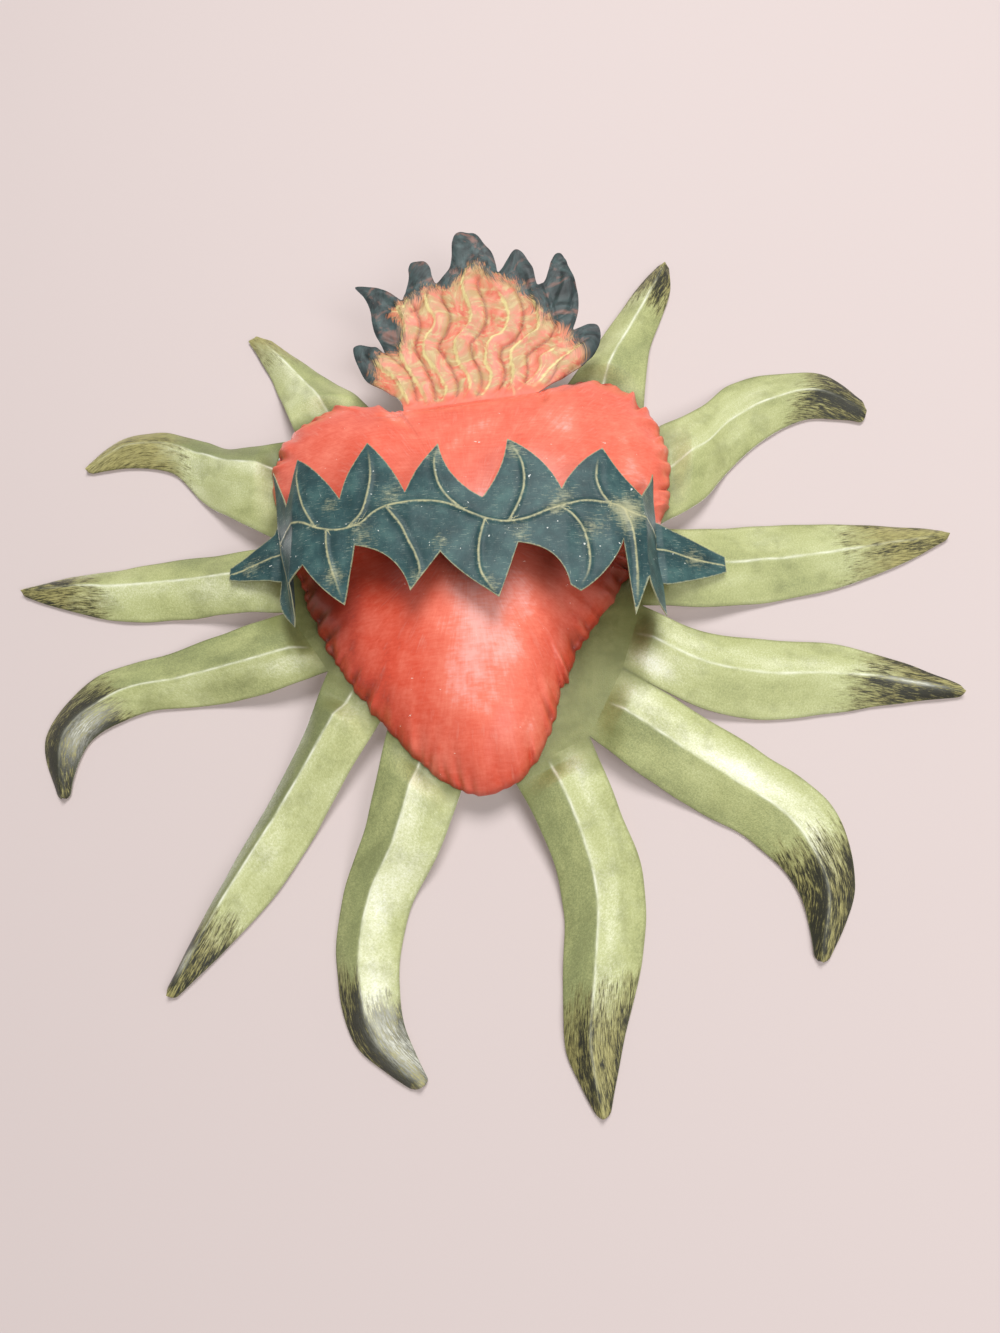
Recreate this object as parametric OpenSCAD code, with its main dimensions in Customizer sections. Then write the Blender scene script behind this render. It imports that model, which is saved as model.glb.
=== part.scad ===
// Sacred heart wall decor: a domed heart with a flame and a crown of thorns on a sunburst of rays,
// all of painted sheet tin, hung by a wire ring at its back.
// It stands upright as it hangs: X to the right, Z up, the front towards -Y and the wall at y = 0.
// The origin is on the wall, where the nail that carries the ring enters it.
// Plan places are [x, z] from the middle of the heart, and heights are measured out from the wall.

/* [Sheet] */
// Thickness of the tin sheet
sheet_t = 0.6; // [0.4:0.1:1]

/* [Sunburst] */
// Reach of the longest rays from the middle of the heart
sun_r = 265; // [240:5:300]
// Width of a middling ray
ray_w = 45; // [36:1:47]
// Height of the flat plate's back above the wall
plate_h = 14; // [12:1:20]
// Height of the rays' backs above the wall at their tips
tip_h = 1; // [0.5:0.5:3]
// Rise of a ray's ridge above its edges
ridge_rise = 8; // [4:0.5:10]
// Length of the slope that starts each ridge
ridge_ramp = 9; // [6:1:16]
// Gap between the heart's rim and the start of each ridge
ridge_gap = 2.5; // [0:0.5:4]

/* [Heart] */
// Width of the heart
heart_w = 228; // [210:2:240]
// Height of the heart from its tip to the top of its lobes
heart_h = 248; // [230:2:260]
// Depth of the heart's dome in front of the plate
heart_depth = 40; // [30:1:46]
// Rise of the bend under the flame in front of the plate
bend_rise = 16; // [10:1:20]

/* [Flame] */
// Width of the flame across its outer tips
flame_w = 140; // [120:2:160]
// Height of the flame above the bend
flame_h = 112; // [90:2:130]
// How far the flame's tips lean out from the bend
flame_lean = 17; // [8:1:24]
// How far the flame's two side edges bow outwards
flame_bow = 3; // [0:0.5:6]
// How far the flame's ridges draw in towards its middle before they fan out to the tips
flame_waist = 9; // [0:0.5:12]
// Height of the hammered ridges on the flame
flame_relief = 2; // [0.5:0.5:3]
// Number of hammered ridges on the flame
flame_ridges = 8; // [6:1:9]

/* [Crown] */
// Width of the crown of thorns across its front
crown_w = 176; // [172:2:182]
// Length of the crown's thorns from tip to tip
thorn_l = 90; // [70:2:100]
// Height of the crown's middle above the middle of the heart
crown_z = 12; // [4:1:20]
// Clear gap between the heart's dome and the back of the crown
crown_gap = 14; // [8:1:20]
// Length of each leaf that turns out at the crown's ends
leaf_l = 29; // [24:1:34]
// Height of the embossed vein along the crown
vein_rise = 0.8; // [0.4:0.1:1.5]

/* [Hanger] */
// Radius of the ring's arc at the middle of its wire
ring_r = 13; // [11:0.5:16]
// Diameter of the ring's wire
wire_d = 2.5; // [2:0.1:3]
// Depth of the ring's bar below the plate's top edge
ring_drop = 24; // [22:1:40]
// Diameter of the nail that carries the ring
nail_d = 3; // [2:0.5:4]
// Width of the strap that holds the ring
strap_w = 12; // [8:1:16]
// Length of the strap down the plate's back
strap_l = 26; // [18:1:32]
// Thickness of the strap's tin
strap_t = 0.6; // [0.4:0.1:0.8]
// Running gap between the ring's bar and the strap
bar_gap = 0.06; // [0.02:0.01:0.1]
// Gap between the ring and the folded strap when the ring hangs down
fold_gap = 0.35; // [0.2:0.05:0.6]

/* [Solder] */
// Radius of the solder tacks under the heart's rim
tack_r = 3; // [2:0.5:4]
// Height of the solder tacks
tack_h = 1.2; // [0.8:0.1:1.6]
// Gap that the solder fills between a leaf and its ray
leaf_gap = 0.6; // [0.4:0.1:0.8]
// Radius of the fillets beside the strap
fillet_r = 1.2; // [0.8:0.1:1.2]

/* [Hidden] */
$fn = 48;

heart_half = [heart_w / 2, heart_h / 2];
front_h = plate_h + sheet_t;
bend_h = front_h + bend_rise;
crown_h = front_h + heart_depth + crown_gap + sheet_t;
ring_h = plate_h - 2 * strap_t - fold_gap - wire_d / 2;
bore_r = wire_d / 2 + bar_gap;
knuckle_r = bore_r + strap_t;

// Corners of the flat plate, anticlockwise from the top left: the inner ends of the slits
corner_shares = [[-0.49, 0.90], [-0.91, 0.81], [-0.93, 0.24], [-0.905, -0.095], [-0.70, -0.38],
    [-0.39, -0.53], [-0.07, -0.89], [0.14, -0.87], [0.49, -0.72], [0.66, -0.43], [0.77, -0.145],
    [0.85, 0.22], [0.85, 0.72], [0.46, 0.98], [0.35, 0.84], [-0.37, 0.81]];
ring_z = corner(len(corner_shares) - 1)[1] - ring_drop;
nail_z = ring_z + ring_r - wire_d / 2 - nail_d / 2;
// Corners that each ray grows from, anticlockwise from the top left ray
ray_corner_index = [[0, 1], [1, 2], [2, 3], [3, 4], [4, 5], [5, 6], [7, 8], [8, 9], [9, 10], [10, 11],
    [11, 12], [12, 13]];
// Places down the middle of each ray, as shares of the reach, then the way across it towards its
// first corner, as shares of a ray's width
ray_shares = [
    [[-0.355, 0.495, 0.96, 0.16], [-0.395, 0.555, 0.80, 0.12], [-0.435, 0.605, 0.62, 0.06],
        [-0.48, 0.66, 0.46, 0], [-0.525, 0.715, 0.32, -0.02]],
    [[-0.535, 0.29, 0.02, 1.06], [-0.625, 0.345, -0.04, 0.92], [-0.71, 0.40, -0.18, 0.66],
        [-0.815, 0.405, -0.18, 0.46], [-0.90, 0.365, -0.08, 0.10]],
    [[-0.535, 0.04, -0.22, 0.82], [-0.655, 0.045, -0.16, 0.84], [-0.77, 0.04, -0.08, 0.74],
        [-0.89, 0.05, -0.04, 0.48], [-1, 0.06, 0, 0.10]],
    [[-0.47, -0.14, -0.54, 0.82], [-0.61, -0.165, -0.66, 0.68], [-0.745, -0.19, -0.76, 0.46],
        [-0.845, -0.28, -0.56, 0.08], [-0.835, -0.405, -0.12, -0.02]],
    [[-0.305, -0.345, -0.52, 0.54], [-0.37, -0.46, -0.50, 0.50], [-0.435, -0.57, -0.46, 0.44],
        [-0.51, -0.68, -0.30, 0.28], [-0.58, -0.78, -0.10, 0.08]],
    [[-0.15, -0.51, -0.82, 0.36], [-0.20, -0.62, -0.76, 0.16], [-0.215, -0.74, -0.68, 0],
        [-0.19, -0.855, -0.52, -0.16], [-0.115, -0.94, -0.16, -0.08]],
    [[0.19, -0.505, -0.80, -0.42], [0.22, -0.625, -0.88, -0.34], [0.21, -0.755, -0.86, -0.24],
        [0.19, -0.88, -0.60, -0.16], [0.195, -0.995, -0.12, 0]],
    [[0.36, -0.35, -0.64, -0.74], [0.475, -0.425, -0.82, -0.62], [0.58, -0.51, -0.90, -0.38],
        [0.625, -0.63, -0.60, -0.06], [0.595, -0.755, -0.12, 0.04]],
    [[0.425, -0.195, -0.28, -0.86], [0.56, -0.22, -0.28, -0.98], [0.69, -0.225, -0.22, -0.86],
        [0.82, -0.24, -0.16, -0.52], [0.945, -0.265, -0.04, -0.12]],
    [[0.48, 0.02, -0.16, -1.04], [0.61, 0.035, -0.08, -1.04], [0.74, 0.045, -0.04, -0.88],
        [0.865, 0.06, 0, -0.56], [0.985, 0.08, 0.02, -0.10]],
    [[0.49, 0.295, -0.12, -1.40], [0.57, 0.38, -0.16, -1.32], [0.67, 0.43, -0.28, -1],
        [0.775, 0.445, -0.30, -0.66], [0.87, 0.395, -0.06, -0.30]],
    [[0.33, 0.555, 0.80, -0.18], [0.36, 0.635, 0.66, -0.18], [0.40, 0.71, 0.56, -0.16],
        [0.44, 0.79, 0.42, -0.12], [0.47, 0.86, 0.12, -0.04]]];
// Place of each ray's ridge, at four stations from root to tip, as shares of the way from the edge
// of its first corner to the other
ridge_shares = [[0.5, 0.5, 0.5, 0.5], [0.3, 0.3, 0.45, 0.5], [0.45, 0.45, 0.42, 0.4],
    [0.6, 0.53, 0.53, 0.5], [0.45, 0.33, 0.3, 0.4], [0.47, 0.43, 0.41, 0.45],
    [0.46, 0.42, 0.39, 0.42], [0.5, 0.5, 0.47, 0.42], [0.56, 0.52, 0.5, 0.42],
    [0.47, 0.47, 0.47, 0.47], [0.53, 0.5, 0.5, 0.5], [0.6, 0.53, 0.5, 0.5]];
// Share of the way from a ray's ridge to its edges that is outside the rim where the ridge starts
ridge_flank = 0.65;
// Share of a ray's length over which its edges come down from the plate to the wall
droop_share = 0.45;
// Share of a ray's length at which its ridge starts to sink, and the ridge that is left at the tip
crest_share = 0.7;
tip_ridge_share = 0.3;
ray_steps = 32;
// Power that crowds a ray's rows towards its root
row_power = 1.3;
leaf_ray_index = [2, 9];

// Outline of the heart from the left end of the bend round its tip to the right end, as shares
// of half its width and half its height
outline_shares = [[-0.35, 0.84], [-0.46, 0.935], [-0.60, 0.975], [-0.84, 0.93], [-0.99, 0.77],
    [-1.025, 0.58], [-0.955, 0.27], [-0.80, -0.105], [-0.64, -0.395], [-0.335, -0.74],
    [-0.125, -0.91], [0.025, -0.95], [0.195, -0.88], [0.315, -0.71], [0.405, -0.47],
    [0.57, -0.21], [0.78, 0.065], [0.94, 0.33], [0.975, 0.53], [0.92, 0.79], [0.735, 1.015],
    [0.52, 1.035], [0.35, 0.90]];
heart_middle_share = [0, 0.08];
// Rings of the dome from its rim to its crest, as shares of the way out
ring_shares = [1, 0.975, 0.93, 0.86, 0.76, 0.63, 0.47, 0.25];
rim_steps = 3;
bend_steps = 8;
dome_power = 2.3;
shoulder_power = 0.7;
// Places of the solder tacks along the heart's outline, as shares of its length
tack_shares = [0.20, 0.29, 0.335, 0.43, 0.59, 0.64, 0.69, 0.735, 0.83];
tack_step_share = 0.01;
// Distance of a tack from the rim's outer edge, as a share of the sheet's thickness
rim_gap_share = 1.4;

// Top edge of the flame from left to right: the share of the bend that each place rises from, then
// its place as shares of half the flame's width and of its height
flame_shares = [[0, -0.98, 0.37], [0.02, -0.885, 0.40], [0.06, -0.715, 0.335], [0.16, -0.79, 0.58],
    [0.28, -0.96, 0.72], [0.30, -0.87, 0.74], [0.34, -0.57, 0.635], [0.36, -0.47, 0.835],
    [0.38, -0.36, 0.84], [0.42, -0.27, 0.74], [0.46, -0.08, 0.99], [0.52, 0.06, 0.985],
    [0.60, 0.27, 0.78], [0.66, 0.405, 0.865], [0.70, 0.475, 0.87], [0.78, 0.585, 0.66],
    [0.86, 0.765, 0.82], [0.88, 0.83, 0.82], [0.92, 0.935, 0.61], [0.96, 0.865, 0.40],
    [0.98, 1.02, 0.415], [1, 1.095, 0.355]];
flame_steps = 50;
// Distance of the flame's sides from the ends of the bend, as a share of the bend's length
bend_inset_share = 0.02;
flame_rows = 7;
lean_power = 1.6;
bow_power = 8;
sway_turn = 70;
// Shares of the flame's height over which its ridges rise at the bend and fade at the tips
foot_share = 0.15;
fade_share = 0.4;

// Columns of the crown from the left leaf's root to the right leaf's: the place as a share of half
// the crown's width, the height as a share of the crown's, then the middle, the upper edge and
// the lower edge as shares of half the thorns' span, and how far the two edges lean sideways
crown_shares = [[-1.25, 0.40, 0.05, 0.38, -0.22], [-1.19, 0.40, 0.06, 0.66, -0.25],
    [-1.16, 0.54, 0.07, 1.13, -0.95, -0.09, 0.11], [-1.09, 0.71, 0.08, 0.47, -0.45, -0.02, 0.05],
    [-1.03, 0.83, 0.10, 0.98, -0.44], [-0.94, 0.89, 0.10, 0.78, -0.44],
    [-0.74, 0.93, -0.04, 0.36, -0.88], [-0.68, 0.94, -0.03, 0.60, -0.98],
    [-0.65, 0.95, -0.01, 0.73, -0.25], [-0.58, 0.96, 0.04, 1.02, -0.27],
    [-0.35, 0.985, 0.18, 0.33, -0.85], [-0.32, 0.99, 0.18, 0.44, -0.89],
    [-0.15, 1, 0.12, 0.91, -0.48], [-0.05, 1, 0.05, 0.52, -0.69], [0.09, 1, -0.04, 0.20, -0.89], [0.17, 1, -0.08, 0.60, -1.04],
    [0.21, 1, -0.10, 0.78, -0.82], [0.24, 1, -0.12, 0.89, -0.65], [0.28, 1, -0.12, 0.84, -0.42],
    [0.42, 0.993, -0.06, 0.54, -0.54],
    [0.55, 0.985, 0.02, 0.24, -0.87], [0.61, 0.97, 0.05, 0.40, -1.0],
    [0.80, 0.94, 0.07, 0.78, -0.53], [0.86, 0.92, 0.05, 0.58, -0.36],
    [0.95, 0.89, 0, 0.36, -1.25, 0, -0.05], [1, 0.86, -0.04, 0.20, -0.60],
    [1.08, 0.55, -0.06, 0.78, -1.05, 0.03, 0.03],
    [1.10, 0.40, -0.08, 0.28, -0.53], [1.15, 0.40, -0.09, 0.22, -0.55]];
// Edges of a leaf at its tip, at the end of its seat and at its middle: upper, middle and lower
// shares of half the thorns' span, for the left and the right leaf
leaf_shares = [[[0.05, -0.03, -0.11], [0.15, 0, -0.15], [0.33, 0.03, -0.19]],
    [[-0.11, -0.22, -0.31], [-0.05, -0.20, -0.36], [0.06, -0.16, -0.42]]];
leaf_reach_shares = [0.9, 1.15];
leaf_seat_share = 0.28;
leaf_middle_share = 0.6;
// How far a bead of solder bites into the sheets beside it, as a share of their thickness
bead_bite_share = 0.25;

function mix(a, b, t) = a + (b - a) * t;
function smooth(t) = let (c = max(0, min(1, t))) c * c * (3 - 2 * c);
function unit(v) = v / norm(v);
function scaled(p, s) = [p[0] * s[0], p[1] * s[1]];

// Place in the frame of the whole piece from a plan place and a height above the wall
function at(p, h) = [p[0], -h, p[1] - nail_z];

// Point on a smooth curve through the points p, at the share s of the way along
function curve(p, s) = let (
    n = len(p) - 1,
    i = min(floor(s * n), n - 1),
    t = s * n - i,
    a = p[max(i - 1, 0)],
    b = p[i],
    c = p[i + 1],
    d = p[min(i + 2, n)])
    b + (c - a) * t / 2 + (a - 2.5 * b + 2 * c - d / 2) * t * t + (3 * b - a - 3 * c + d) * t * t * t / 2;

// Faces of a sheet given as two grids of rows by columns, front then back
function sheet_faces(rows, cols) = let (
    size = rows * cols,
    quads = [for (i = [0 : rows - 2], j = [0 : cols - 2])
        [i * cols + j, i * cols + j + 1, (i + 1) * cols + j + 1, (i + 1) * cols + j]],
    edge = concat([for (j = [0 : cols - 1]) j],
        [for (i = [1 : rows - 1]) i * cols + cols - 1],
        [for (j = [cols - 2 : -1 : 0]) (rows - 1) * cols + j],
        [for (i = [rows - 2 : -1 : 1]) i * cols]),
    count = len(edge))
    concat([for (q = quads) each [[q[0], q[1], q[2]], [q[0], q[2], q[3]]]],
        [for (q = quads) each [[q[0] + size, q[2] + size, q[1] + size],
            [q[0] + size, q[3] + size, q[2] + size]]],
        [for (k = [0 : count - 1]) let (a = edge[k], b = edge[(k + 1) % count])
            each [[a, a + size, b + size], [a, b + size, b]]]);

// Rays

function corner(i) = scaled(corner_shares[i], heart_half);
// Edge of a ray: side 1 starts at its first corner and side -1 at its second
function ray_edge(k, side) = concat([corner(ray_corner_index[k][side > 0 ? 0 : 1])],
    [for (s = ray_shares[k]) sun_r * [s[0], s[1]] + side * ray_w / 2 * [s[2], s[3]]]);
function edge_h(s) = mix(front_h, tip_h + sheet_t, smooth(s / droop_share));
// How far a plan place is outside the heart's rim
function past_rim(p) = let (d = p - heart_middle) norm(d) - lookup(turn(d), rim_reach);
function ridge_place(k, s) = mix(curve(ray_edge(k, 1), s), curve(ray_edge(k, -1), s),
    curve(ridge_shares[k], s));
function ridge_h(k, s) = let (
    p = ridge_place(k, s),
    past = min([for (side = [-1, 1]) past_rim(mix(p, curve(ray_edge(k, side), s), ridge_flank))]))
    edge_h(s) + ridge_rise * smooth(min(norm(p - ridge_place(k, 0)), past - ridge_gap) / ridge_ramp)
        * mix(1, tip_ridge_share, smooth((s - crest_share) / (1 - crest_share)));
function row_share(i) = pow(i / ray_steps, row_power);
function ray_rows(k, drop) = let (a = ray_edge(k, 1), b = ray_edge(k, -1))
    [for (i = [0 : ray_steps]) let (s = row_share(i), p = curve(a, s), q = curve(b, s))
        each [at(p, edge_h(s) - drop), at(ridge_place(k, s), ridge_h(k, s) - drop),
            at(q, edge_h(s) - drop)]];

module ray(k) {
    color("darkkhaki")
        polyhedron(concat(ray_rows(k, 0), ray_rows(k, sheet_t)), sheet_faces(ray_steps + 1, 3));
}

module centre_plate() {
    color("darkkhaki")
        translate([0, -plate_h, -nail_z])
            rotate([90, 0, 0])
                linear_extrude(sheet_t)
                    polygon([for (i = [0 : len(corner_shares) - 1]) corner(i)]);
}

// Heart

outline = [for (s = outline_shares) scaled(s, heart_half)];
outline_count = (len(outline) - 1) * rim_steps;
heart_middle = scaled(heart_middle_share, heart_half);
bend = [outline[0], outline[len(outline) - 1]];
// Rim of the heart: places, and how much of the bend's rise each has
rim = concat([for (k = [0 : outline_count]) curve(outline, k / outline_count)],
    [for (k = [1 : bend_steps - 1]) mix(bend[1], bend[0], k / bend_steps)]);
rim_count = len(rim);
// Direction of a way out from the heart's middle, in degrees anticlockwise from straight up
function turn(d) = (atan2(d[1], d[0]) + 270) % 360;
rim_reach = [for (k = [0 : outline_count]) [turn(rim[k] - heart_middle), norm(rim[k] - heart_middle)]];
rim_rise = concat(
    [for (k = [0 : outline_count]) let (t = min(k, outline_count - k) / rim_steps) 1 - smooth(t)],
    [for (k = [1 : bend_steps - 1]) 1]);
function dome(r) = pow(1 - pow(r, dome_power), shoulder_power);
function dome_h(k, r) = let (base = bend_rise * rim_rise[k])
    front_h + base + (heart_depth - base) * dome(r);
function front_ring(r) = [for (k = [0 : rim_count - 1])
    at(mix(heart_middle, rim[k], r), dome_h(k, r))];
function back_ring(r) = [for (k = [0 : rim_count - 1]) let (
    lift = r < 1 ? 1 : rim_rise[k],
    inset = sheet_t * (r < 1 ? 1 : 1 - rim_rise[k]) / norm(rim[k] - heart_middle))
    at(mix(heart_middle, rim[k], r * (1 - inset)), dome_h(k, r) - sheet_t * lift)];

module heart_shell() {
    rings = len(ring_shares);
    layer = rings * rim_count + 1;
    points = concat([for (r = ring_shares) each front_ring(r)],
        [at(heart_middle, front_h + heart_depth)],
        [for (r = ring_shares) each back_ring(r)],
        [at(heart_middle, front_h + heart_depth - sheet_t)]);
    quads = [for (i = [0 : rings - 2], k = [0 : rim_count - 1]) let (n = (k + 1) % rim_count)
        [i * rim_count + k, i * rim_count + n, (i + 1) * rim_count + n, (i + 1) * rim_count + k]];
    caps = [for (k = [0 : rim_count - 1])
        [(rings - 1) * rim_count + k, (rings - 1) * rim_count + (k + 1) % rim_count, layer - 1]];
    faces = concat([for (q = quads) each [[q[0], q[2], q[1]], [q[0], q[3], q[2]]]],
        [for (c = caps) [c[0], c[2], c[1]]],
        [for (q = quads) each [[q[0] + layer, q[1] + layer, q[2] + layer],
            [q[0] + layer, q[2] + layer, q[3] + layer]]],
        [for (c = caps) [c[0] + layer, c[1] + layer, c[2] + layer]],
        [for (k = [0 : rim_count - 1]) let (n = (k + 1) % rim_count)
            each [[k, n, n + layer], [k, n + layer, k + layer]]]);
    color("tomato")
        polyhedron(points, faces);
}

module heart_solder() {
    color("silver")
        difference() {
            for (s = tack_shares) {
                place = curve(outline, s);
                run = unit(curve(outline, s + tack_step_share) - place);
                translate(at(place + (tack_r + rim_gap_share * sheet_t) * [-run[1], run[0]], front_h))
                    rotate([90, 0, 0])
                        cylinder(r = tack_r, h = tack_h);
            }
            heart_shell();
        }
}

// Flame

function flame_top(u) = [for (i = [1, 2]) lookup(u, [for (s = flame_shares) [s[0], s[i]]])];
function flame_point(u, v, drop) = let (
    top = flame_top(u),
    base = mix(bend[0], bend[1], mix(bend_inset_share, 1 - bend_inset_share, u)),
    middle = (bend[0] + bend[1]) / 2,
    tip = middle + [top[0] * flame_w / 2, top[1] * flame_h],
    wave = (1 - cos(360 * flame_ridges * u + sway_turn * sin(360 * v))) / 2,
    relief = flame_relief * wave * sin(180 * u) * smooth(v / foot_share) * smooth((1 - v) / fade_share),
    out = 2 * u - 1,
    bow = flame_bow * pow(abs(out), bow_power) * [sign(out), -1] + flame_waist * [sin(360 * u), 0])
    at(mix(base, tip, v) + bow * sin(180 * v), bend_h + flame_lean * pow(v * top[1], lean_power) + relief - drop);
function flame_grid(drop) = [for (i = [0 : flame_rows], j = [0 : flame_steps])
    flame_point(j / flame_steps, i / flame_rows, drop)];

module flame() {
    color("darksalmon")
        polyhedron(concat(flame_grid(0), flame_grid(sheet_t)), sheet_faces(flame_rows + 1, flame_steps + 1));
}

// Crown of thorns

function crown_x(s) = s * crown_w / 2;
function thorn_z(s) = crown_z + s * thorn_l / 2;
// Height and plan place across of a ray's ridge, at the distance x to one side of the middle
function ridge_over(k, x) = let (
    ridge = [for (i = [0 : ray_steps]) let (s = row_share(i), p = ridge_place(k, s))
        [abs(p[0]), ridge_h(k, s), p[1]]])
    [for (i = [1, 2]) lookup(x, [for (r = ridge) [r[0], r[i]]])];
root_x = [for (e = [0, len(crown_shares) - 1]) crown_x(crown_shares[e][0])];
tip_x = [root_x[0] - leaf_l * leaf_reach_shares[0], root_x[1] + leaf_l * leaf_reach_shares[1]];
bead_x = [for (e = [0, 1]) mix(tip_x[e], root_x[e], leaf_seat_share / 2)];
bead_seat = [for (e = [0, 1]) ridge_over(leaf_ray_index[e], abs(bead_x[e]))];
// Height of a leaf's front over its ray's ridge
function seat_h(e, x) = ridge_over(leaf_ray_index[e], abs(x))[0] + leaf_gap + sheet_t;
root_h = [for (e = [0, len(crown_shares) - 1]) crown_shares[e][1] * crown_h];
// Columns of one leaf from its tip to its root: place, height, middle, upper and lower edge
function leaf_columns(e) = let (
    way = [0, leaf_seat_share, leaf_middle_share],
    x = [for (w = way) mix(tip_x[e], root_x[e], w)],
    rise = (leaf_middle_share - leaf_seat_share) / (1 - leaf_seat_share),
    h = [seat_h(e, x[0]), seat_h(e, x[1]), mix(seat_h(e, x[1]), root_h[e], rise)])
    [for (i = [0 : 2]) let (s = leaf_shares[e][i])
        [x[i], h[i], thorn_z(s[1]), thorn_z(s[0]), thorn_z(s[2]), 0, 0, i == 2 ? leaf_middle_share : 0]];
crown_columns = concat(leaf_columns(0),
    [for (s = crown_shares) [crown_x(s[0]), s[1] * crown_h, thorn_z(s[2]), thorn_z(s[3]), thorn_z(s[4]),
        crown_x(len(s) > 5 ? s[5] : 0), crown_x(len(s) > 5 ? s[6] : 0), 1]],
    [for (i = [2 : -1 : 0]) leaf_columns(1)[i]]);
function crown_grid(drop) = let (last = len(crown_columns) - 1)
    [for (i = [0 : last]) let (
        c = crown_columns[i],
        a = crown_columns[max(i - 1, 0)],
        b = crown_columns[min(i + 1, last)],
        d = unit([b[0] - a[0], b[1] - a[1]]),
        n = [-d[1], d[0]],
        edge = [c[0], c[1]] - drop * n,
        vein = edge + c[7] * vein_rise * n)
        each [at([edge[0] + c[6], c[4]], edge[1]), at([vein[0], c[2]], vein[1]),
            at([edge[0] + c[5], c[3]], edge[1])]];

module crown_band() {
    color("darkslategray")
        polyhedron(concat(crown_grid(0), crown_grid(sheet_t)), sheet_faces(len(crown_columns), 3));
}

module crown_solder() {
    bead_r = leaf_l * leaf_seat_share / 5;
    color("silver")
        difference() {
            for (e = [0, 1])
                translate(at([bead_x[e], bead_seat[e][1]], bead_seat[e][0] - bead_bite_share * sheet_t))
                    rotate([90, 0, 0])
                        cylinder(r = bead_r, h = leaf_gap + 2 * bead_bite_share * sheet_t);
            crown_band();
            ray(leaf_ray_index[0]);
            ray(leaf_ray_index[1]);
        }
}

// Hanger

module hanger_strap() {
    color("silver")
        translate([-strap_w / 2, -ring_h, ring_z - nail_z])
            rotate([90, 0, 90])
                linear_extrude(strap_w)
                    difference() {
                        union() {
                            circle(r = knuckle_r);
                            polygon([[0, knuckle_r], [-knuckle_r, 0], [ring_h - plate_h, -knuckle_r],
                                [ring_h - plate_h, -strap_l], [ring_h - plate_h + 2 * strap_t, -strap_l],
                                [ring_h - plate_h + 2 * strap_t, -knuckle_r], [0, -knuckle_r]]);
                        }
                        circle(r = bore_r);
                    }
}

module strap_solder() {
    color("silver")
        for (side = [0, 1])
            mirror([side, 0, 0])
                translate([strap_w / 2, -plate_h, ring_z - strap_l - nail_z])
                    linear_extrude(strap_l - 2 * knuckle_r)
                        intersection() {
                            circle(r = fillet_r);
                            square(fillet_r);
                        }
}

module hanger_ring() {
    color("gainsboro")
        translate([0, -ring_h, ring_z - nail_z]) {
            rotate([90, 0, 0])
                rotate_extrude(angle = 180)
                    translate([ring_r, 0])
                        circle(d = wire_d);
            rotate([0, 90, 0])
                cylinder(d = wire_d, h = 2 * ring_r, center = true);
            for (side = [-1, 1])
                translate([side * ring_r, 0, 0])
                    sphere(d = wire_d);
        }
}

centre_plate();
ray(0);  // ray_top_left
ray(1);  // ray_upper_left
ray(2);  // ray_left
ray(3);  // ray_lower_left
ray(4);  // ray_bottom_left_outer
ray(5);  // ray_bottom_left
ray(6);  // ray_bottom_right
ray(7);  // ray_bottom_right_outer
ray(8);  // ray_lower_right
ray(9);  // ray_right
ray(10);  // ray_upper_right
ray(11);  // ray_top_right
heart_shell();
flame();
crown_band();
heart_solder();
crown_solder();
hanger_strap();
strap_solder();
hanger_ring();
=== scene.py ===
"""Sacred heart wall decor of hand-painted sheet tin: rays, heart, flame and crown of thorns as the
painter left them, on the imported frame. Plan places are in millimetres from the middle of the heart,
and heights are measured out from the wall, as in the part's own source."""

import math

import bpy
import numpy as np
from mathutils import Matrix, Vector
from mathutils.geometry import delaunay_2d_cdt


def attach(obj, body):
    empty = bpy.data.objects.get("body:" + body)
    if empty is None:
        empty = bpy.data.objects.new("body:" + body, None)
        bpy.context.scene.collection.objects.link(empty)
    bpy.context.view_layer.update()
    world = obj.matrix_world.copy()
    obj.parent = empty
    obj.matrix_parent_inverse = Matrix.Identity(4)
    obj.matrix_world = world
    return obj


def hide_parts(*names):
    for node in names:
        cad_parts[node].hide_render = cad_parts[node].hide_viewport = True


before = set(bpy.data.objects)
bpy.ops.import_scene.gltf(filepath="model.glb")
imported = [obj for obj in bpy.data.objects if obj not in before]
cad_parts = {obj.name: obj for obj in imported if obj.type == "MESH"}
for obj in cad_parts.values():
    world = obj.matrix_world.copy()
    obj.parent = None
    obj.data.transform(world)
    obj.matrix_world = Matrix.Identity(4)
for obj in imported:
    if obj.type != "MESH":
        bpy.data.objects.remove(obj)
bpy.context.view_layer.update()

# Sizes in millimetres, most of them those of the part's own source
MM = 0.001
SHEET_T = 0.6
SUN_R = 265
RAY_W = 45
PLATE_H = 14
TIP_H = 1
RIDGE_RISE = 8
RIDGE_RAMP = 11
RIDGE_GAP = 2.5
HEART_HALF = np.array([114, 124])
HEART_DEPTH = 40
BEND_RISE = 16
FLAME_H = 112
FLAME_LEAN = 17
FLAME_PLEAT = 9
CROWN_W = 176
THORN_L = 90
CROWN_Z = 12
CROWN_GAP = 14
LEAF_L = 29
LEAF_GAP = 0.6
NAIL_Z = 86.69
FRONT_H = PLATE_H + SHEET_T
BEND_H = FRONT_H + BEND_RISE
CROWN_H = FRONT_H + HEART_DEPTH + CROWN_GAP + SHEET_T
# Distances between the points of the flat middle, the flame and the crown
PLATE_GRAIN, FLAME_GRAIN, CROWN_GRAIN = 4, 1.1, 1.05
# Rows of points along a ray and from the heart's rim to its middle, and points round that rim
RAY_ROWS, HEART_ROWS, RIM_POINTS = 220, 55, 800
# Radius of the snip that rounds a ray's tip
SNIP = 3
# A fold sharper than this, in degrees, shows as an edge
SHARP_FOLD = 50
# Farther from a crest or a vein than its paint reaches
FAR_OFF = 9.0
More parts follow.
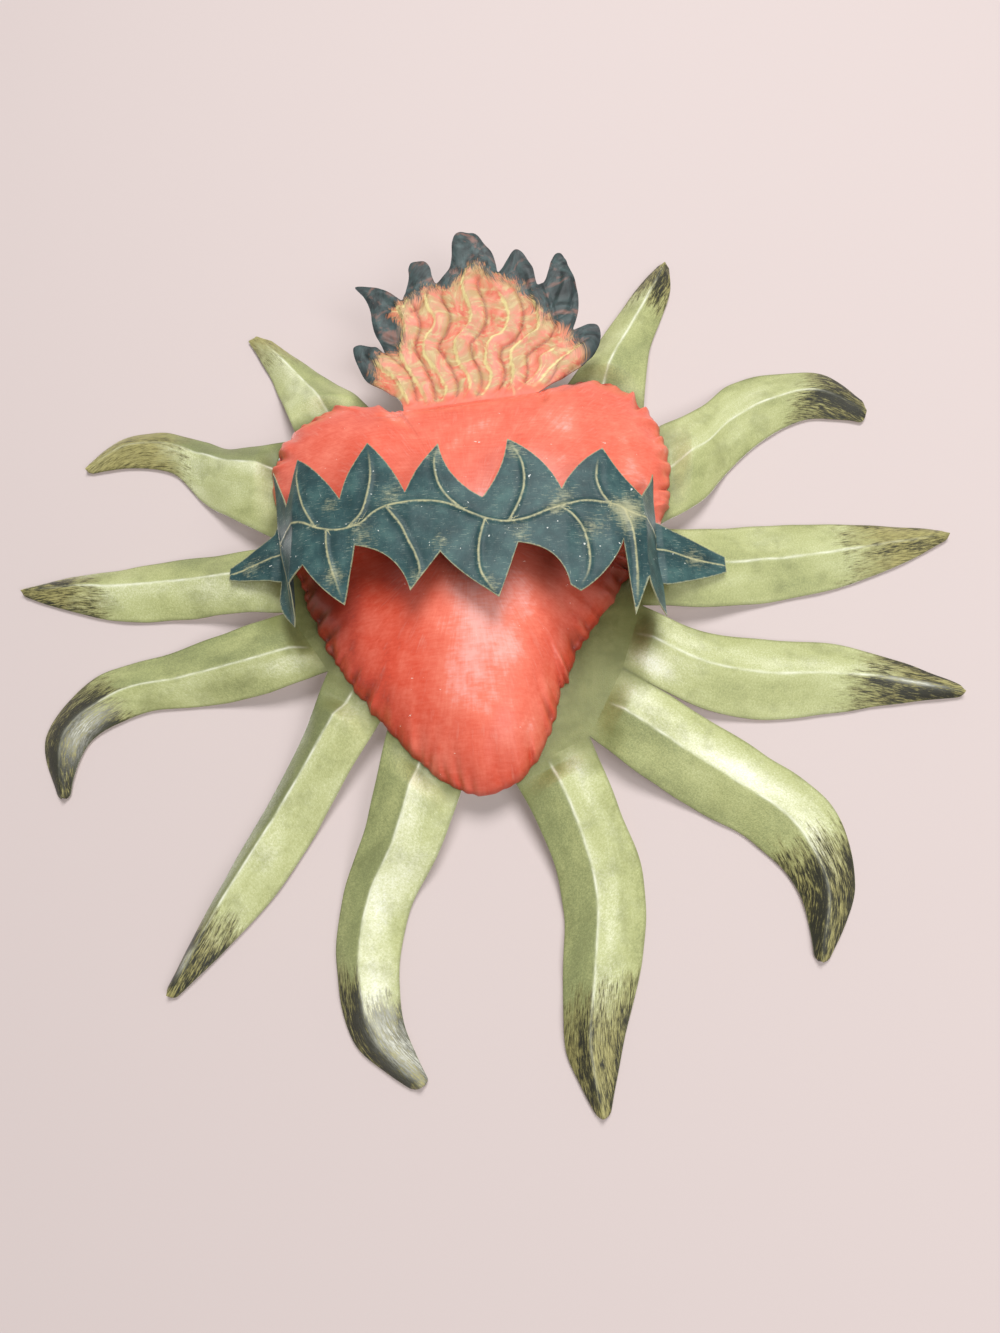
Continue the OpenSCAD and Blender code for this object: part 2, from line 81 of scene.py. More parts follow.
# Cloudiness past which paint has chipped off, and where the chip is whole
CHIP_FROM, CHIP_WHOLE = 1.08, 1.16
# Half the wall's width and its distance behind the piece, in metres
WALL_HALF, WALL_BEHIND = 4, 0.0005
# Facts on a mesh's points that are places, where the others are single numbers
PLACES = ("lay", "flat")

# Corners of the flat middle as shares of half the heart
CORNERS = HEART_HALF * [
    [-0.49, 0.90], [-0.91, 0.81], [-0.93, 0.24], [-0.905, -0.095], [-0.70, -0.38], [-0.39, -0.53],
    [-0.07, -0.89], [0.14, -0.87], [0.49, -0.72], [0.66, -0.43], [0.77, -0.145], [0.85, 0.22], [0.85, 0.72],
    [0.46, 0.98], [0.35, 0.84], [-0.37, 0.81]]
# The two corners that each ray starts from, where none starts between corners 6 and 7
RAY_CORNERS = [[i, i + 1] for i in range(13) if i != 6]
RAY_NAMES = [
    "top_left", "upper_left", "left", "lower_left", "bottom_left_outer", "bottom_left",
    "bottom_right", "bottom_right_outer", "lower_right", "right", "upper_right", "top_right"]
# Down the middle of each ray: place as a share of the sunburst's radius, then the way to its first
# edge as a share of half the ray's width
RAYS = [
    [[-0.355, 0.495, 0.96, 0.16], [-0.395, 0.555, 0.80, 0.12], [-0.435, 0.605, 0.62, 0.06],
     [-0.48, 0.66, 0.46, 0], [-0.525, 0.715, 0.32, -0.02]],
    [[-0.535, 0.29, 0.02, 1.06], [-0.625, 0.345, -0.04, 0.92], [-0.71, 0.40, -0.18, 0.66],
     [-0.815, 0.405, -0.18, 0.46], [-0.90, 0.365, -0.08, 0.10]],
    [[-0.535, 0.04, -0.22, 0.82], [-0.655, 0.045, -0.16, 0.84], [-0.77, 0.04, -0.08, 0.74],
     [-0.89, 0.05, -0.04, 0.48], [-1, 0.06, 0, 0.10]],
    [[-0.47, -0.14, -0.54, 0.82], [-0.61, -0.165, -0.66, 0.68], [-0.745, -0.19, -0.76, 0.46],
     [-0.845, -0.28, -0.56, 0.08], [-0.835, -0.405, -0.12, -0.02]],
    [[-0.305, -0.345, -0.52, 0.54], [-0.37, -0.46, -0.50, 0.50], [-0.435, -0.57, -0.46, 0.44],
     [-0.51, -0.68, -0.30, 0.28], [-0.58, -0.78, -0.10, 0.08]],
    [[-0.15, -0.51, -0.82, 0.36], [-0.20, -0.62, -0.76, 0.16], [-0.215, -0.74, -0.68, 0],
     [-0.19, -0.855, -0.52, -0.16], [-0.115, -0.94, -0.16, -0.08]],
    [[0.19, -0.505, -0.80, -0.42], [0.22, -0.625, -0.88, -0.34], [0.21, -0.755, -0.86, -0.24],
     [0.19, -0.88, -0.60, -0.16], [0.195, -0.995, -0.12, 0]],
    [[0.36, -0.35, -0.64, -0.74], [0.475, -0.425, -0.82, -0.62], [0.58, -0.51, -0.90, -0.38],
     [0.625, -0.63, -0.60, -0.06], [0.595, -0.755, -0.12, 0.04]],
    [[0.425, -0.195, -0.28, -0.86], [0.56, -0.22, -0.28, -0.98], [0.69, -0.225, -0.22, -0.86],
     [0.82, -0.24, -0.16, -0.52], [0.945, -0.265, -0.04, -0.12]],
    [[0.48, 0.02, -0.16, -1.04], [0.61, 0.035, -0.08, -1.04], [0.74, 0.045, -0.04, -0.88],
     [0.865, 0.06, 0, -0.56], [0.985, 0.08, 0.02, -0.10]],
    [[0.49, 0.295, -0.12, -1.40], [0.57, 0.38, -0.16, -1.32], [0.67, 0.43, -0.28, -1],
     [0.775, 0.445, -0.30, -0.66], [0.87, 0.395, -0.06, -0.30]],
    [[0.33, 0.555, 0.80, -0.18], [0.36, 0.635, 0.66, -0.18], [0.40, 0.71, 0.56, -0.16],
     [0.44, 0.79, 0.42, -0.12], [0.47, 0.86, 0.12, -0.04]]]
# Share of the way across at which each ray's ridge lies, from root to tip
RIDGES = [
    [0.5, 0.5, 0.5, 0.5], [0.3, 0.3, 0.45, 0.5], [0.45, 0.45, 0.42, 0.4], [0.6, 0.53, 0.53, 0.5],
    [0.45, 0.33, 0.3, 0.4], [0.47, 0.43, 0.41, 0.45], [0.46, 0.42, 0.39, 0.42], [0.5, 0.5, 0.47, 0.42],
    [0.56, 0.52, 0.5, 0.42], [0.47, 0.47, 0.47, 0.47], [0.53, 0.5, 0.5, 0.5], [0.6, 0.53, 0.5, 0.5]]
# Outline of the heart from the bend's left end round the tip, as shares of half the heart
OUTLINE = HEART_HALF * [
    [-0.35, 0.84], [-0.46, 0.935], [-0.60, 0.975], [-0.84, 0.93], [-0.99, 0.77], [-1.025, 0.58],
    [-0.955, 0.27], [-0.80, -0.105], [-0.64, -0.395], [-0.335, -0.74], [-0.125, -0.91], [0.025, -0.95],
    [0.195, -0.88], [0.315, -0.71], [0.405, -0.47], [0.57, -0.21], [0.78, 0.065], [0.94, 0.33],
    [0.975, 0.53], [0.92, 0.79], [0.735, 1.015], [0.52, 1.035], [0.35, 0.90]]
# The crown from left to right: place, height, middle, upper and lower cut and the lean of both
# cuts, as shares of half its width, of its height and of half a thorn
CROWN = [
    [-1.25, 0.40, 0.05, 0.38, -0.22], [-1.19, 0.40, 0.06, 0.66, -0.25],
    [-1.16, 0.54, 0.07, 1.13, -0.95, -0.09, 0.11], [-1.09, 0.71, 0.08, 0.47, -0.45, -0.02, 0.05],
    [-1.03, 0.83, 0.10, 0.98, -0.44], [-0.94, 0.89, 0.10, 0.78, -0.44], [-0.74, 0.93, -0.04, 0.36, -0.88],
    [-0.68, 0.94, -0.03, 0.60, -0.98], [-0.65, 0.95, -0.01, 0.73, -0.25], [-0.58, 0.96, 0.04, 1.02, -0.27],
    [-0.35, 0.985, 0.18, 0.33, -0.85], [-0.32, 0.99, 0.18, 0.44, -0.89], [-0.15, 1, 0.12, 0.91, -0.48],
    [-0.05, 1, 0.05, 0.52, -0.69], [0.09, 1, -0.04, 0.20, -0.89], [0.17, 1, -0.08, 0.60, -1.04],
    [0.21, 1, -0.10, 0.78, -0.82], [0.24, 1, -0.12, 0.89, -0.65], [0.28, 1, -0.12, 0.84, -0.42],
    [0.42, 0.993, -0.06, 0.54, -0.54], [0.55, 0.985, 0.02, 0.24, -0.87], [0.61, 0.97, 0.05, 0.40, -1.0],
    [0.80, 0.94, 0.07, 0.78, -0.53], [0.86, 0.92, 0.05, 0.58, -0.36],
    [0.95, 0.89, 0, 0.36, -1.25, 0, -0.05], [1, 0.86, -0.04, 0.20, -0.60],
    [1.08, 0.55, -0.06, 0.78, -1.05, 0.03, 0.03], [1.10, 0.40, -0.08, 0.28, -0.53],
    [1.15, 0.40, -0.09, 0.22, -0.55]]
# Upper cut, middle and lower cut of the two end leaves, from the tip in
LEAVES = [[[0.05, -0.03, -0.11], [0.15, 0, -0.15], [0.33, 0.03, -0.19]],
          [[-0.11, -0.22, -0.31], [-0.05, -0.20, -0.36], [0.06, -0.16, -0.42]]]
LEAF_REACH = [0.9, 1.15]
LEAF_SEAT = 0.28
LEAF_MIDDLE = 0.6

# Cut edge of the flame from the left end of the bend over its tips to the right end
FLAME_CUT = [
    [-38.5, 104.3], [-41, 112], [-48.5, 118.5], [-57.5, 124], [-62, 128.5], [-65.5, 136], [-68, 143],
    [-68.7, 149], [-65.5, 150.8], [-61, 150], [-55, 148], [-50.2, 144.5], [-53, 151.5], [-56, 158],
    [-57.5, 165], [-58, 170], [-59.5, 176], [-62.5, 182], [-66.5, 186.5], [-67, 188.7], [-60.5, 188.6],
    [-53.5, 187], [-46.5, 183], [-40, 177.7], [-38.2, 179.5], [-36.5, 185.5], [-35, 192.5], [-35, 198],
    [-33, 201.5], [-28, 202.6], [-24.5, 201.5], [-22, 197.5], [-21, 192], [-18.7, 187.7], [-14.5, 191],
    [-10.8, 196], [-9, 203.5], [-8.5, 211.5], [-7, 217], [-3.5, 219.2], [1.5, 218], [5.5, 217.6],
    [8.7, 214], [12, 209], [15.5, 204], [17.3, 198], [18.3, 192.5], [21, 194.7], [24, 199.5], [27, 204],
    [30, 205.5], [33.5, 203.5], [36.5, 198.5], [39.3, 192.5], [40.5, 185.5], [41.8, 182], [46, 184.7],
    [48.5, 191], [50.5, 197.5], [53, 200.7], [56.3, 200.6], [59, 197], [61.3, 190], [63.7, 183], [65, 174],
    [64.8, 165.5], [63, 158], [61, 152], [64.5, 153], [70, 155], [74.6, 154], [76.6, 150], [76.3, 144],
    [74, 137.5], [68.5, 131], [61, 125.5], [54, 121], [47, 116.5], [42, 113.5], [38.5, 111.3]]
# Crests hammered into the flame, from the bend up
CRESTS = [
    [[-35, 106], [-42, 123], [-50, 132], [-57, 139], [-63, 146]],
    [[-26, 105], [-26, 111], [-29, 119], [-34, 128], [-38, 136], [-41, 144], [-40, 152], [-38, 161],
     [-42, 172], [-48, 181], [-59, 185]],
    [[-20, 105], [-16, 110], [-14, 117], [-17, 124], [-21, 132], [-26, 140], [-27, 146], [-25, 153],
     [-21, 159], [-20, 165], [-24, 172], [-25, 180], [-24, 187], [-28, 198]],
    [[-7, 107], [-2, 113], [0, 120], [-2, 127], [-6, 133], [-8, 141], [-8, 149], [-4, 155], [1, 161],
     [1, 169], [-2, 178], [-3, 186], [-1, 194], [4, 198], [3, 207], [0, 214]],
    [[3, 107], [7, 112], [11, 119], [12, 126], [9, 134], [10, 142], [13, 149], [20, 153], [23, 160],
     [23, 167], [20, 175], [15, 183], [12, 189]],
    [[17, 109], [21, 113], [24, 119], [25, 126], [24, 133], [25, 141], [32, 147], [40, 153], [41, 160],
     [40, 167], [37, 177], [35, 189], [31, 201]],
    [[23, 109], [29, 115], [37, 122], [41, 129], [41, 134], [48, 139], [55, 147]],
    [[29, 109], [38, 116], [46, 126], [56, 135], [67, 142], [74, 148]],
    [[42, 163], [50, 167], [53, 174], [56, 182], [56, 193]],
    [[-39, 171], [-34, 181], [-30, 192]]]
# Where the charcoal of the tips meets the orange
CHARCOAL_LINE = [
    [-56, 124], [-56, 135], [-52, 145], [-44, 144], [-40, 152], [-42, 163], [-46, 171], [-42, 175],
    [-30, 179], [-23, 187], [-15, 184], [-6, 188], [-1, 195], [5, 197], [15, 191], [27, 185], [35, 176],
    [41, 167], [50, 158], [59, 151], [61, 144], [67, 136], [66, 129]]
# Cut edges of the crown from left to right: place, height up and the bow of the cut that follows
CROWN_TOP = [
    [-136, 14.2, 0], [-110, 29.3, -1], [-102.1, 63, 0], [-95.9, 33.5, 0], [-90.7, 57, 1.6], [-65, 27, 2],
    [-51, 58, 1.6], [-31, 26.5, 1.6], [-14, 53.5, -4.5], [8, 20.5, -2.5], [21.3, 53.5, 3.6],
    [47.5, 23.3, 2.6], [69.5, 47.6, -1.5], [88, 21.5, -0.5], [95, 47.4, 0], [97, 24.5, 0], [101.2, 22, 0.5],
    [134.5, 7, 0]]
CROWN_LOW = [
    [-136, 7, 0], [-104.7, 0.5, -1], [-102.1, -31, 1], [-83, -8, -1.6], [-60, -33, 0], [-56, -1, 6],
    [-27.7, -28.6, 0], [-13, -9, -1.2], [9, -30, 0], [15, -34.8, 0], [25, -6, 6.6], [49, -30, 0],
    [53.7, -33, -3], [76.5, -4.3, 0], [83.6, -44.3, 0], [88, -23, -2], [95, -35.2, 0], [97, -12, 0],
    [101.2, -12.8, -0.5], [134.5, -2, 0]]
# Veins pressed into the crown: the long one, then those of the upper and the lower thorns
VEINS = [
    [[-134, 10.5], [-120, 13.5], [-110, 15], [-104, 17], [-96, 18], [-90, 18], [-84, 16], [-77, 12],
     [-68, 9], [-60, 9], [-53, 11], [-47, 16], [-40, 19], [-32, 20], [-22, 20], [-11, 18], [-1, 13],
     [9, 8], [19, 5.5], [30, 7], [40, 11], [48, 13.5], [58, 16], [68, 15.5], [75, 14], [81, 11], [88, 9],
     [95, 9], [103, 7], [114, 4.5], [125, 3], [133, 2]],
    [[-102, 18], [-103, 34], [-102.5, 56]], [[-77, 12], [-84, 25], [-89, 42], [-90, 54]],
    [[-60, 9], [-53, 17], [-50, 28], [-49, 40], [-51, 56]],
    [[-1, 13], [-9, 21], [-14, 30], [-16, 43], [-14, 52]],
    [[21, 6], [26, 16], [29, 27], [28, 40], [22, 52]], [[71, 15], [67, 21], [65, 30], [67, 42]],
    [[-102, 15], [-101, 0], [-102, -24]], [[-71, 9], [-70, -2], [-67, -14], [-61, -31]],
    [[-40, 18], [-33, 8], [-29, -1], [-25, -10], [-23, -19], [-27, -27]],
    [[9, 7], [6, -5], [6, -18], [9, -26], [14, -33]],
    [[46, 12.5], [52, 8], [57, 0], [59, -11], [58, -22], [53.5, -31]],
    [[78, 12], [82, 0], [84, -20], [84, -40]]]
# Places where the crown's paint is rubbed through, with the reach of each rub
RUBS = [
    [76, 12, 8], [84, 15, 9], [80, 2, 7], [90, 28, 6], [-38, 25, 8], [-52, 3, 8], [-13, -4, 6], [27, -2, 6],
    [48, 20, 8], [44, 12, 5], [-15, 46, 6], [25, 46, 6], [-70, 24, 6], [11, -28, 6], [117, 5, 8],
    [-25, -22, 6], [-66, -18, 7], [-122, 12, 7], [62, 2, 7], [-33, 40, 6]]

# How much pearl the painter left on each facet of a ray, first corner's side then the other
PEARL = [
    [-0.15, 0.62], [-0.55, 0.68], [-0.05, 0.5], [-0.25, 0.15], [-0.75, 0.4], [-0.42, 0.8], [-0.3, 0.5],
    [-0.1, 0.75], [0.25, 0.5], [0.12, 0.2], [0.15, 0.4], [-0.1, 0.25]]
# Pale worn places: ray, share along it, millimetres across it, reach across and along, and how much
WORN = [[3, 0.77, 6, 5, 16, 1], [5, 0.87, 7, 7, 24, 1], [8, 0.84, 0, 1.2, 14, 1], [4, 0.9, -1, 1.5, 6, 1]]
# Painted sheen, laid on as pearl in patches, said in the same way
PAINTED_SHEENS = [
    [8, 0.08, -13, 8, 14, 0.75], [7, 0.06, 12, 8, 14, 0.45], [6, 0.06, 9, 7, 14, 0.4],
    [3, 0.08, 9, 7, 18, 0.6], [7, 0.42, 6, 8, 30, 0.4], [5, 0.75, 7, 8, 26, 0.2]]
# Share of each ray at which its brushed tip begins, on its first corner's side then on the other, and
# how much blacker, or less black, that tip is than most
BRUSHED = [
    [0.7, 0.72, -0.72], [0.5, 0.5, -0.55], [0.72, 0.68, -0.1], [0.6, 0.66, 0.36], [0.77, 0.74, 0.12],
    [0.62, 0.72, 0.3], [0.66, 0.66, -0.02], [0.67, 0.67, 0.22], [0.67, 0.71, 0.15], [0.66, 0.64, -0.4],
    [0.72, 0.74, 0.3], [0.64, 0.68, 0.1]]


def mix(a, b, t):
    return a + (b - a) * t


def smooth(t):
    c = np.clip(t, 0, 1)
    return c * c * (3 - 2 * c)


def crisp(t):
    c = np.clip(t, 0, 1)
    return mix(c, smooth(c), 0.4)


def hump(x, width):
    return np.exp(-((x / width) ** 2))


def span(v):
    """Length of each vector."""
    return np.linalg.norm(v, axis=-1)


def curve(points, s):
    """Places on a smooth curve through the points, at the shares s of the way along."""
    p = np.asarray(points, float)
    s = np.asarray(s, float)
    n = len(p) - 1
    i = np.minimum(np.floor(s * n).astype(int), n - 1)
    t = s * n - i
    if p.ndim > 1:
        t = t[..., None]
    a, b, c, d = p[np.maximum(i - 1, 0)], p[i], p[i + 1], p[np.minimum(i + 2, n)]
    return (b + (c - a) * t / 2 + (a - 2.5 * b + 2 * c - d / 2) * t**2
            + (3 * b - a - 3 * c + d) * t**3 / 2)


def dents(places, size, seed, waves=16):
    """Soft hand-made unevenness of about one unit, its bumps about size millimetres apart."""
    draw = np.random.default_rng(seed)
    p = np.asarray(places, float)
    ways = draw.normal(size=(waves, p.shape[-1]))
    ways /= span(ways)[:, None]
    ways *= 2 * np.pi / size * draw.uniform(0.6, 1.4, waves)[:, None]
    return np.cos(p @ ways.T + draw.uniform(0, 2 * np.pi, waves)).sum(-1) / math.sqrt(waves)


def run_along(points):
    """Distance along a line of points at each of them."""
    return np.concatenate([[0], np.cumsum(span(np.diff(points, axis=0)))])


def from_line(points, line, steps=12):
    """Distance of points from a smooth line, which side they lie on and the share along it."""
    way = curve(line, np.linspace(0, 1, steps * (len(line) - 1) + 1))
    a, d = way[:-1], np.diff(way, axis=0)
    gap = points[:, None] - a[None]
    t = np.clip((gap * d).sum(-1) / (d * d).sum(-1), 0, 1)
    away = gap - t[..., None] * d
    far = span(away)
    near = far.argmin(1)
    pick = (np.arange(len(points)), near)
    side = np.sign(d[near, 0] * gap[pick][:, 1] - d[near, 1] * gap[pick][:, 0])
    return far[pick], side, (near + t[pick]) / len(d)


def inside(points, ring):
    """Which points lie inside a closed outline."""
    a, b = ring, np.roll(ring, -1, axis=0)
    x, y = points[:, :1], points[:, 1:]
    crosses = (a[:, 1] > y) != (b[:, 1] > y)
    where = a[:, 0] + (y - a[:, 1]) * (b - a)[:, 0] / np.where(b[:, 1] == a[:, 1], 1, (b - a)[:, 1])
    return (crosses & (x < where)).sum(1) % 2 == 1


def cut_flat(ring, gap):
    """A flat sheet cut to a closed outline: its points, its triangles and their distance to the cut."""
    way = np.roll(ring, -1, axis=0) - ring

    def to_cut(p):
        apart = p[:, None] - ring
        t = np.clip((apart * way).sum(-1) / (way * way).sum(-1), 0, 1)
        return span(apart - t[..., None] * way).min(1)

    low, high = ring.min(0), ring.max(0)
    rows = []
    for i, y in enumerate(np.arange(low[1], high[1], gap * 0.866)):
        x = np.arange(low[0] + (i % 2) * gap / 2, high[0], gap)
        rows.append(np.stack([x, np.full(len(x), y)], -1))
    grid = np.concatenate(rows)
    grid = grid[inside(grid, ring)]
    grid = grid[to_cut(grid) > gap * 0.45]
    places = [Vector(p) for p in np.concatenate([ring, grid])]
    found = delaunay_2d_cdt(places, [], [list(range(len(ring)))], 1, 1e-5)
    points = np.array([v[:] for v in found[0]])
    return points, np.array(found[2]), to_cut(points)


def bowed(table, gap):
    """Cut line through sharp corners, each stretch bowed to one side as much as its table says."""
    line = []
    for (x, z, bow), (far_x, far_z, _) in zip(table[:-1], table[1:]):
        a, b = np.array([x, z]), np.array([far_x, far_z])
        way = b - a
        long = np.linalg.norm(way)
        t = np.linspace(0, 1, max(2, int(round(long / gap)) + 1))[:-1, None]
        line.append(mix(a, b, t) + 4 * t * (1 - t) * bow * np.array([-way[1], way[0]]) / long)
    line.append(np.array([table[-1][:2]]))
    return np.concatenate(line)


def at(plan, height):
    """Place in the frame of the whole piece, in metres."""
    plan = np.asarray(plan, float)
    return np.stack([plan[..., 0], -np.broadcast_to(height, plan.shape[:-1]),
                     plan[..., 1] - NAIL_Z], -1) * MM


def put_in(name, data):
    """Puts a mesh, a lamp or the camera into the scene."""
    thing = bpy.data.objects.new(name, data)
    bpy.context.scene.collection.objects.link(thing)
    return thing


def painted_mesh(name, points, faces, facts, material, body="wall_piece"):
    """Joins points and faces into a piece and writes the painting facts on its front and back points."""
    mesh = bpy.data.meshes.new(name)
    mesh.from_pydata(points.tolist(), [], faces)
    for fact, value in facts.items():
        kind, key = ("FLOAT_VECTOR", "vector") if fact in PLACES else ("FLOAT", "value")
        layer = mesh.attributes.new(fact, kind, "POINT")
        layer.data.foreach_set(key, np.tile(np.ravel(value).astype(float), 2))
    mesh.materials.append(material)
    piece = put_in(name, mesh)
    mesh.shade_smooth()
    mesh.set_sharp_from_angle(angle=math.radians(SHARP_FOLD))
    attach(piece, body)
    return piece


def cut_tin(name, faces, front, back, facts, material):
    """A piece of sheet tin from cut_flat triangles with the places of its front and its back."""
    n = len(front)
    faces = np.asarray(faces)
    edges = np.concatenate([faces[:, [0, 1]], faces[:, [1, 2]], faces[:, [2, 0]]])
    _, number, count = np.unique(np.sort(edges, axis=1), axis=0, return_inverse=True, return_counts=True)
    cut = edges[count[number.ravel()] == 1]
    rim = np.stack([cut[:, 1], cut[:, 0], cut[:, 0] + n, cut[:, 1] + n], -1)
    return painted_mesh(name, np.concatenate([front, back]),
                        faces.tolist() + (faces[:, ::-1] + n).tolist() + rim.tolist(), facts, material)


def tin_sheet(name, plan, front, back, facts, material, ring=False):
    """A piece of sheet tin from a grid of plan places with the heights of its front, and the places and
    heights of its back. facts are painted on its points, and a ring grid closes on itself."""
    rows, cols = front.shape
    half = rows * cols
    points = np.concatenate([at(plan, front).reshape(-1, 3), at(*back).reshape(-1, 3)])
    number = np.arange(half).reshape(rows, cols)
    if ring:
        number = np.concatenate([number, number[:, :1]], 1)
        edges = [number[0], number[-1][::-1]]
    else:
        edges = [np.concatenate([number[0], number[1:, -1], number[-1, -2::-1], number[-2::-1, 0]])]
    quads = np.stack([number[:-1, :-1], number[:-1, 1:], number[1:, 1:], number[1:, :-1]], -1).reshape(-1, 4)
    rims = [np.stack([e[:-1], e[:-1] + half, e[1:] + half, e[1:]], -1) for e in edges]
    faces = np.concatenate([quads, quads[:, ::-1] + half, *rims])
    return painted_mesh(name, points, faces.tolist(), facts, material)


# Materials


def linear(code):
    """Linear colour from an sRGB hex value."""
    parts = [int(code[i:i + 2], 16) / 255 for i in (1, 3, 5)]
    return [c / 12.92 if c <= 0.04045 else ((c + 0.055) / 1.055) ** 2.4 for c in parts] + [1]


def add(tree, kind, links=None, out=0, stops=None, **settings):
    """Adds a node with its settings and links, each a socket or a plain value, and gives an output."""
    node = tree.nodes.new("ShaderNode" + kind)
    for key, value in settings.items():
        setattr(node, key, value)
    if stops:
        ramp = node.color_ramp.elements
        while len(ramp) < len(stops):
            ramp.new(0.5)
        for element, (place, colour) in zip(ramp, stops):
            element.position = place
            element.color = linear(colour)
    for key, value in (links or {}).items():
        if isinstance(value, bpy.types.NodeSocket):
            tree.links.new(value, node.inputs[key])
        else:
            node.inputs[key].default_value = value
    return node.outputs[out]


def new_finish(name, facts=""):
    """A new material's tree, its one shader and the facts painted on the points that it reads."""
    material = bpy.data.materials.new(name)
    material.use_nodes = True
    tree = material.node_tree
    read = [add(tree, "Attribute", out=1 if fact in PLACES else 2, attribute_name=fact)
            for fact in facts.split()]
    return (material, tree, tree.nodes["Principled BSDF"], *read)


def shades(tree, value, stops, high=1.0):
    """Colours laid out over a value from -1 upwards."""
    spread = add(tree, "MapRange", {0: value, 1: -1.0, 2: high})
    return add(tree, "ValToRGB", {0: spread}, stops=stops)


def uneven(tree, place, size, stretch=(1, 1, 1), detail=4.0, rough=0.65):
    """Unevenness of paint, mostly from -1 to 1, its spots about size across before the stretch. Mist,
    bristle marks and scratches are finer on the real piece and are drawn as coarse as they need to show."""
    sized = add(tree, "Mapping", {"Vector": place, "Scale": [1 / size / k for k in stretch]})
    cloud = add(tree, "TexNoise", {"Vector": sized, "Scale": 1.0, "Detail": detail, "Roughness": rough})
    return add(tree, "MapRange", {0: cloud, 1: 0.3, 2: 0.7, 3: -1.0, 4: 1.0}, clamp=False)


def broken(tree, value, *spots):
    """A painted fact whose borders break up, by so much of each kind of unevenness."""
    for amount, cloud in spots:
        value = add(tree, "Math", {0: cloud, 1: amount, 2: value}, operation="MULTIPLY_ADD")
    return value


def coats(tree, colour, *layers):
    """Paint over paint. Each coat has its colour and its shares of cover, which thin one another: a
    fact, a number, or a fact with two values and the shares that it goes between from one to the other."""
    for over, *shares in layers:
        cover = None
        for share in shares:
            if isinstance(share, tuple):
                share = add(tree, "MapRange", dict(enumerate(share)))
            cover = share if cover is None else add(
                tree, "Math", {0: cover, 1: share}, operation="MULTIPLY")
        over = linear(over) if isinstance(over, str) else over
        colour = add(tree, "Mix", {0: cover, 6: colour, 7: over}, 2, data_type="RGBA")
    return colour


def finish(tree, shader, colour, rough, gloss, reliefs):
    """Puts paint on the front of the tin, rust bloom on the grey side that faces the wall, and the
    small reliefs of the brush, each with its share and its depth in millimetres, over both."""
    place = add(tree, "TexCoord", out="Object")
    bloom = uneven(tree, place, 30 * MM, detail=6.0, rough=0.7)
    tin = shades(tree, bloom, [(0.12, "#77726A"), (0.6, "#98948C"), (0.95, "#7F6A54")])
    facing = add(tree, "SeparateXYZ", {0: add(tree, "NewGeometry", out="True Normal")}, 1)
    both = coats(tree, colour, (tin, (facing, 0.1, 0.3)))
    tree.links.new(both, shader.inputs["Base Color"])
    shader.inputs["Roughness"].default_value = rough
    shader.inputs["Specular IOR Level"].default_value = gloss
    normal = None
    for height, share, deep in reliefs:
        links = {"Height": height, "Strength": share, "Distance": deep * MM}
        normal = add(tree, "Bump", {**links, "Normal": normal} if normal else links)
    tree.links.new(normal, shader.inputs["Normal"])


def ray_paint():
    """Olive craft acrylic airbrushed over tin: a dull satin with fine mist specks, a pearl bloom
    beside each ridge, and tips dry-brushed black with old gold left between the strokes."""
    material, tree, shader, lay, pearl, root, shade, tip, soot, worn, crest, edge = new_finish(
        "olive_acrylic_on_tin", "lay pearl root shade tip soot worn crest edge")
    mist = uneven(tree, lay, 0.9, detail=3.0, rough=0.75)
    cloud = uneven(tree, lay, 16, (1, 2.5, 1), 3.0, 0.55)
    stroke = uneven(tree, lay, 0.6, (1, 9, 1), rough=0.7)
    broad = uneven(tree, lay, 3, (1, 4, 1))
    colour = shades(tree, broken(tree, pearl, (0.3, cloud), (0.3, mist)),
                    [(0.0, "#737A50"), (0.28, "#8F9664"), (0.48, "#AEB37A"), (0.66, "#C1C692"),
                     (0.84, "#DDE0BA"), (1.0, "#F3F5E2")], 1.2)
    # where rays meet the plate the olive is deeper, and a painted shade darkens it most under the heart;
    #     # it drifts over both
    drift = uneven(tree, add(tree, "TexCoord", out="Object"), 14 * MM, detail=3.0)
    colour = coats(tree, colour, ("#7A7F4B", broken(tree, root, (0.16, drift))),
                   ("#454A2A", broken(tree, shade, (0.16, drift))))
    # old gold first on the tip, then brown and black over it in broken strokes
    old_gold = coats(tree, linear("#B3AB6C"), ("#7C7442", (stroke, -0.8, 0.8)))
    soot = broken(tree, soot, (0.7, stroke), (0.36, broad))
    colour = coats(tree, colour, (old_gold, (broken(tree, tip, (0.6, broad)), -0.4, 1.8, 0.0, 0.9)),
                   ("#69643A", (soot, -0.5, 0.2, 0.0, 0.75)), ("#191B13", (soot, 0.05, 0.55, 0.0, 0.95)))
    # paint scuffed to a pale undercoat, and a painted highlight along the ridge, partly worn pale paint,
    #     # less of it on the tip
    colour = coats(tree, colour, ("#D9DACB", worn, (stroke, -0.4, 0.5, 0.25, 1.0)),
                   ("#F0F2DE", crest, (broad, -0.6, 0.6, 0.8, 0.2), (tip, 0.0, 0.8, 1.0, 0.3)),
                   ("#565A38", edge))
    finish(tree, shader, colour, 0.42, 0.36, ((stroke, 0.15, 0.4), (mist, 0.2, 0.3)))
    return material


